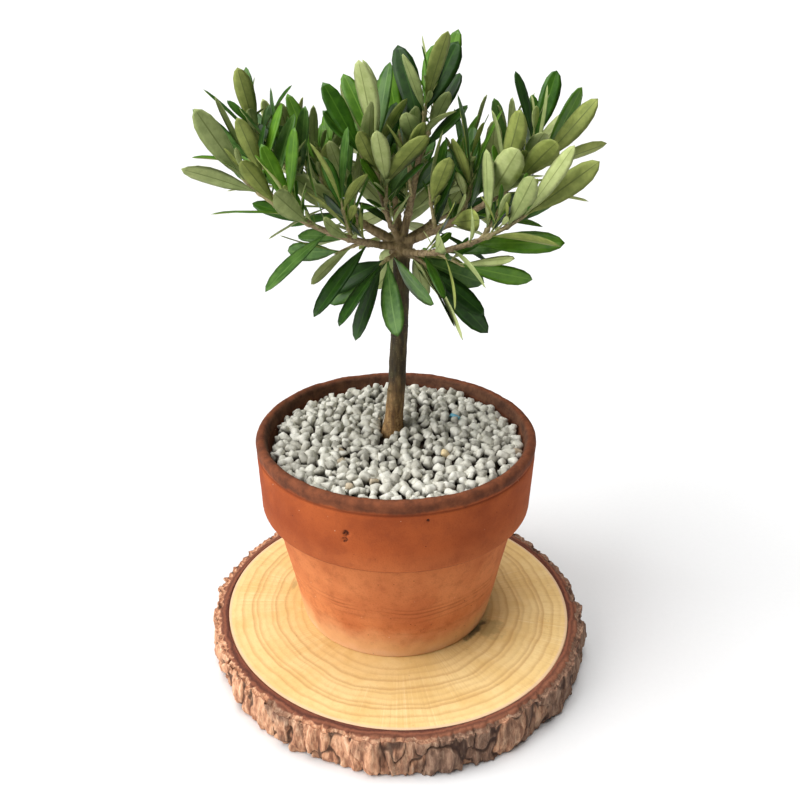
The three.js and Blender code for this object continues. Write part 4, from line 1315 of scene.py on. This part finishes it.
def makeLeaves():
    shape = Shape()
    draw = Draw(bladeForm["seed"])
    for part in crownParts:
        spray = draw.span(0, 1)
        for one in part["blades"]:
            points, faces, names = leafMesh(one, draw)
            upper = pickTone(one, spray, draw.span(0, 1), part["hangs"])
            under = len(upperTones) + min(int(draw.span(0, 1) * 3), 2)
            slots = {"upper": upper, "under": under}
            slots.update(upperRib=upper + len(allTones), underRib=under + len(allTones))
            shape.add(points, faces, [slots[name] for name in names])
    finishes = [leafFinish(name, dark, pale) for name, dark, pale, _ in allTones]
    finishes += [leafFinish(name + "Rib", rib, rib) for name, _, _, rib in allTones]
    seat(makeMesh("leaves", shape, *finishes), "leaves", *foliage)


def pickTone(one, spray, luck, hangs):  # hanging leaves are deep, small ones bright, the rest by spray
    if hangs:
        return 0 if luck < 0.7 else 3
    if one["shoot"] == "fine":
        return 2 if luck < 0.6 else 1
    mixed = (luck * 2 + spray) / 3
    return 0 if mixed < 0.36 else 1 if mixed < 0.66 else 2 if mixed < 0.82 else 3


budForm = {  # how far out each kind stands, its length and its radius
    "axil": (0.9, 1.5, 0.5), "end": (0.4, 2.6, 0.62), "taper": (0.7, 1, 0.9, 0.6, 0.2), "sides": 6,
}


def makeBuds():
    shape = Shape()
    for part in crownParts:
        ends = {}
        for one in part["blades"]:
            start = one["point"]
            if one["end"]:
                ends[tuple(np.round(start, 2))] = one["ahead"]
            elif one["shoot"] != "fine":
                addBud(shape, start, unit(one["direction"] + one["ahead"]), *budForm["axil"])
        for start, ahead in ends.items():
            addBud(shape, np.array(start), ahead, *budForm["end"])
    seat(makeMesh("buds", shape, twigFinish("bud", (150, 150, 88), (196, 190, 128))), "leaves", *foliage)


def addBud(shape, start, ahead, out, length, radius):
    path = np.array([start + ahead * out + ahead * length * k / 4 for k in range(5)])
    shape.add(*tube(path, np.array(budForm["taper"]) * radius, budForm["sides"]))


makeTrunkAndBoughs()
makeTwigs()
makeLeaves()
makeBuds()


# Floor, lights and camera

studio = {
    "floor": 12, "floorDrop": 0.0002, "sky": 0.08,
    "camera": (0.00227, -0.4286, 0.36015), "pitch": 26.12, "lens": 40.5, "sensor": 36, "nearest": 0.01,
}
lights = [  # name, where it comes from, strength, and how wide it is in degrees
    ("window", (-0.85, -0.32, 0.5), 3.15, 56),
    ("above", (-0.07, 0.07, 1), 3.0, 50),
]


def makeFloor():
    mesh = bpy.data.meshes.new("floor")
    reach, low = studio["floor"], -studio["floorDrop"]
    corners = [(-reach, -reach, low), (reach, -reach, low), (reach, reach, low), (-reach, reach, low)]
    mesh.from_pydata(corners, [], [(0, 1, 2, 3)])
    f = Finish("floorPaper")
    f.colour = f.mix(f.clouds(3, 2), (224, 224, 224), (227, 227, 227))
    mesh.materials.append(f.surface(0.9))
    makeObject("floor", mesh)


def makeLights():
    for name, place, strength, width in lights:
        lamp = bpy.data.lights.new(name, "SUN")
        lamp.energy = strength
        lamp.angle = math.radians(width)
        light = makeObject(name, lamp)
        light.location = place
        light.rotation_euler = (-Vector(place)).to_track_quat("-Z", "Y").to_euler()
    world = bpy.data.worlds.new("studio")
    world.use_nodes = True
    world.node_tree.nodes.clear()
    book = NodeBook(world.node_tree)
    seen = book.node("ShaderNodeLightPath", out="Is Camera Ray")
    dim = book.node("ShaderNodeBackground", sockets={"Color": (1, 1, 1, 1), "Strength": studio["sky"]})
    white = book.node("ShaderNodeBackground", sockets={"Color": (1, 1, 1, 1)})  # behind the floor's far edge
    both = book.node("ShaderNodeMixShader", sockets={0: seen, 1: dim, 2: white})
    book.node("ShaderNodeOutputWorld", sockets={"Surface": both})
    bpy.context.scene.world = world


def makeCamera():
    lens = bpy.data.cameras.new("camera")
    lens.lens = studio["lens"]
    lens.sensor_width = studio["sensor"]
    lens.clip_start = studio["nearest"]
    camera = makeObject("camera", lens)
    camera.location = studio["camera"]
    camera.rotation_euler = (math.radians(90 - studio["pitch"]), 0, 0)
    bpy.context.scene.camera = camera
    bpy.context.scene.view_settings.view_transform = "Standard"


makeFloor()
makeLights()
makeCamera()
print("stage set")
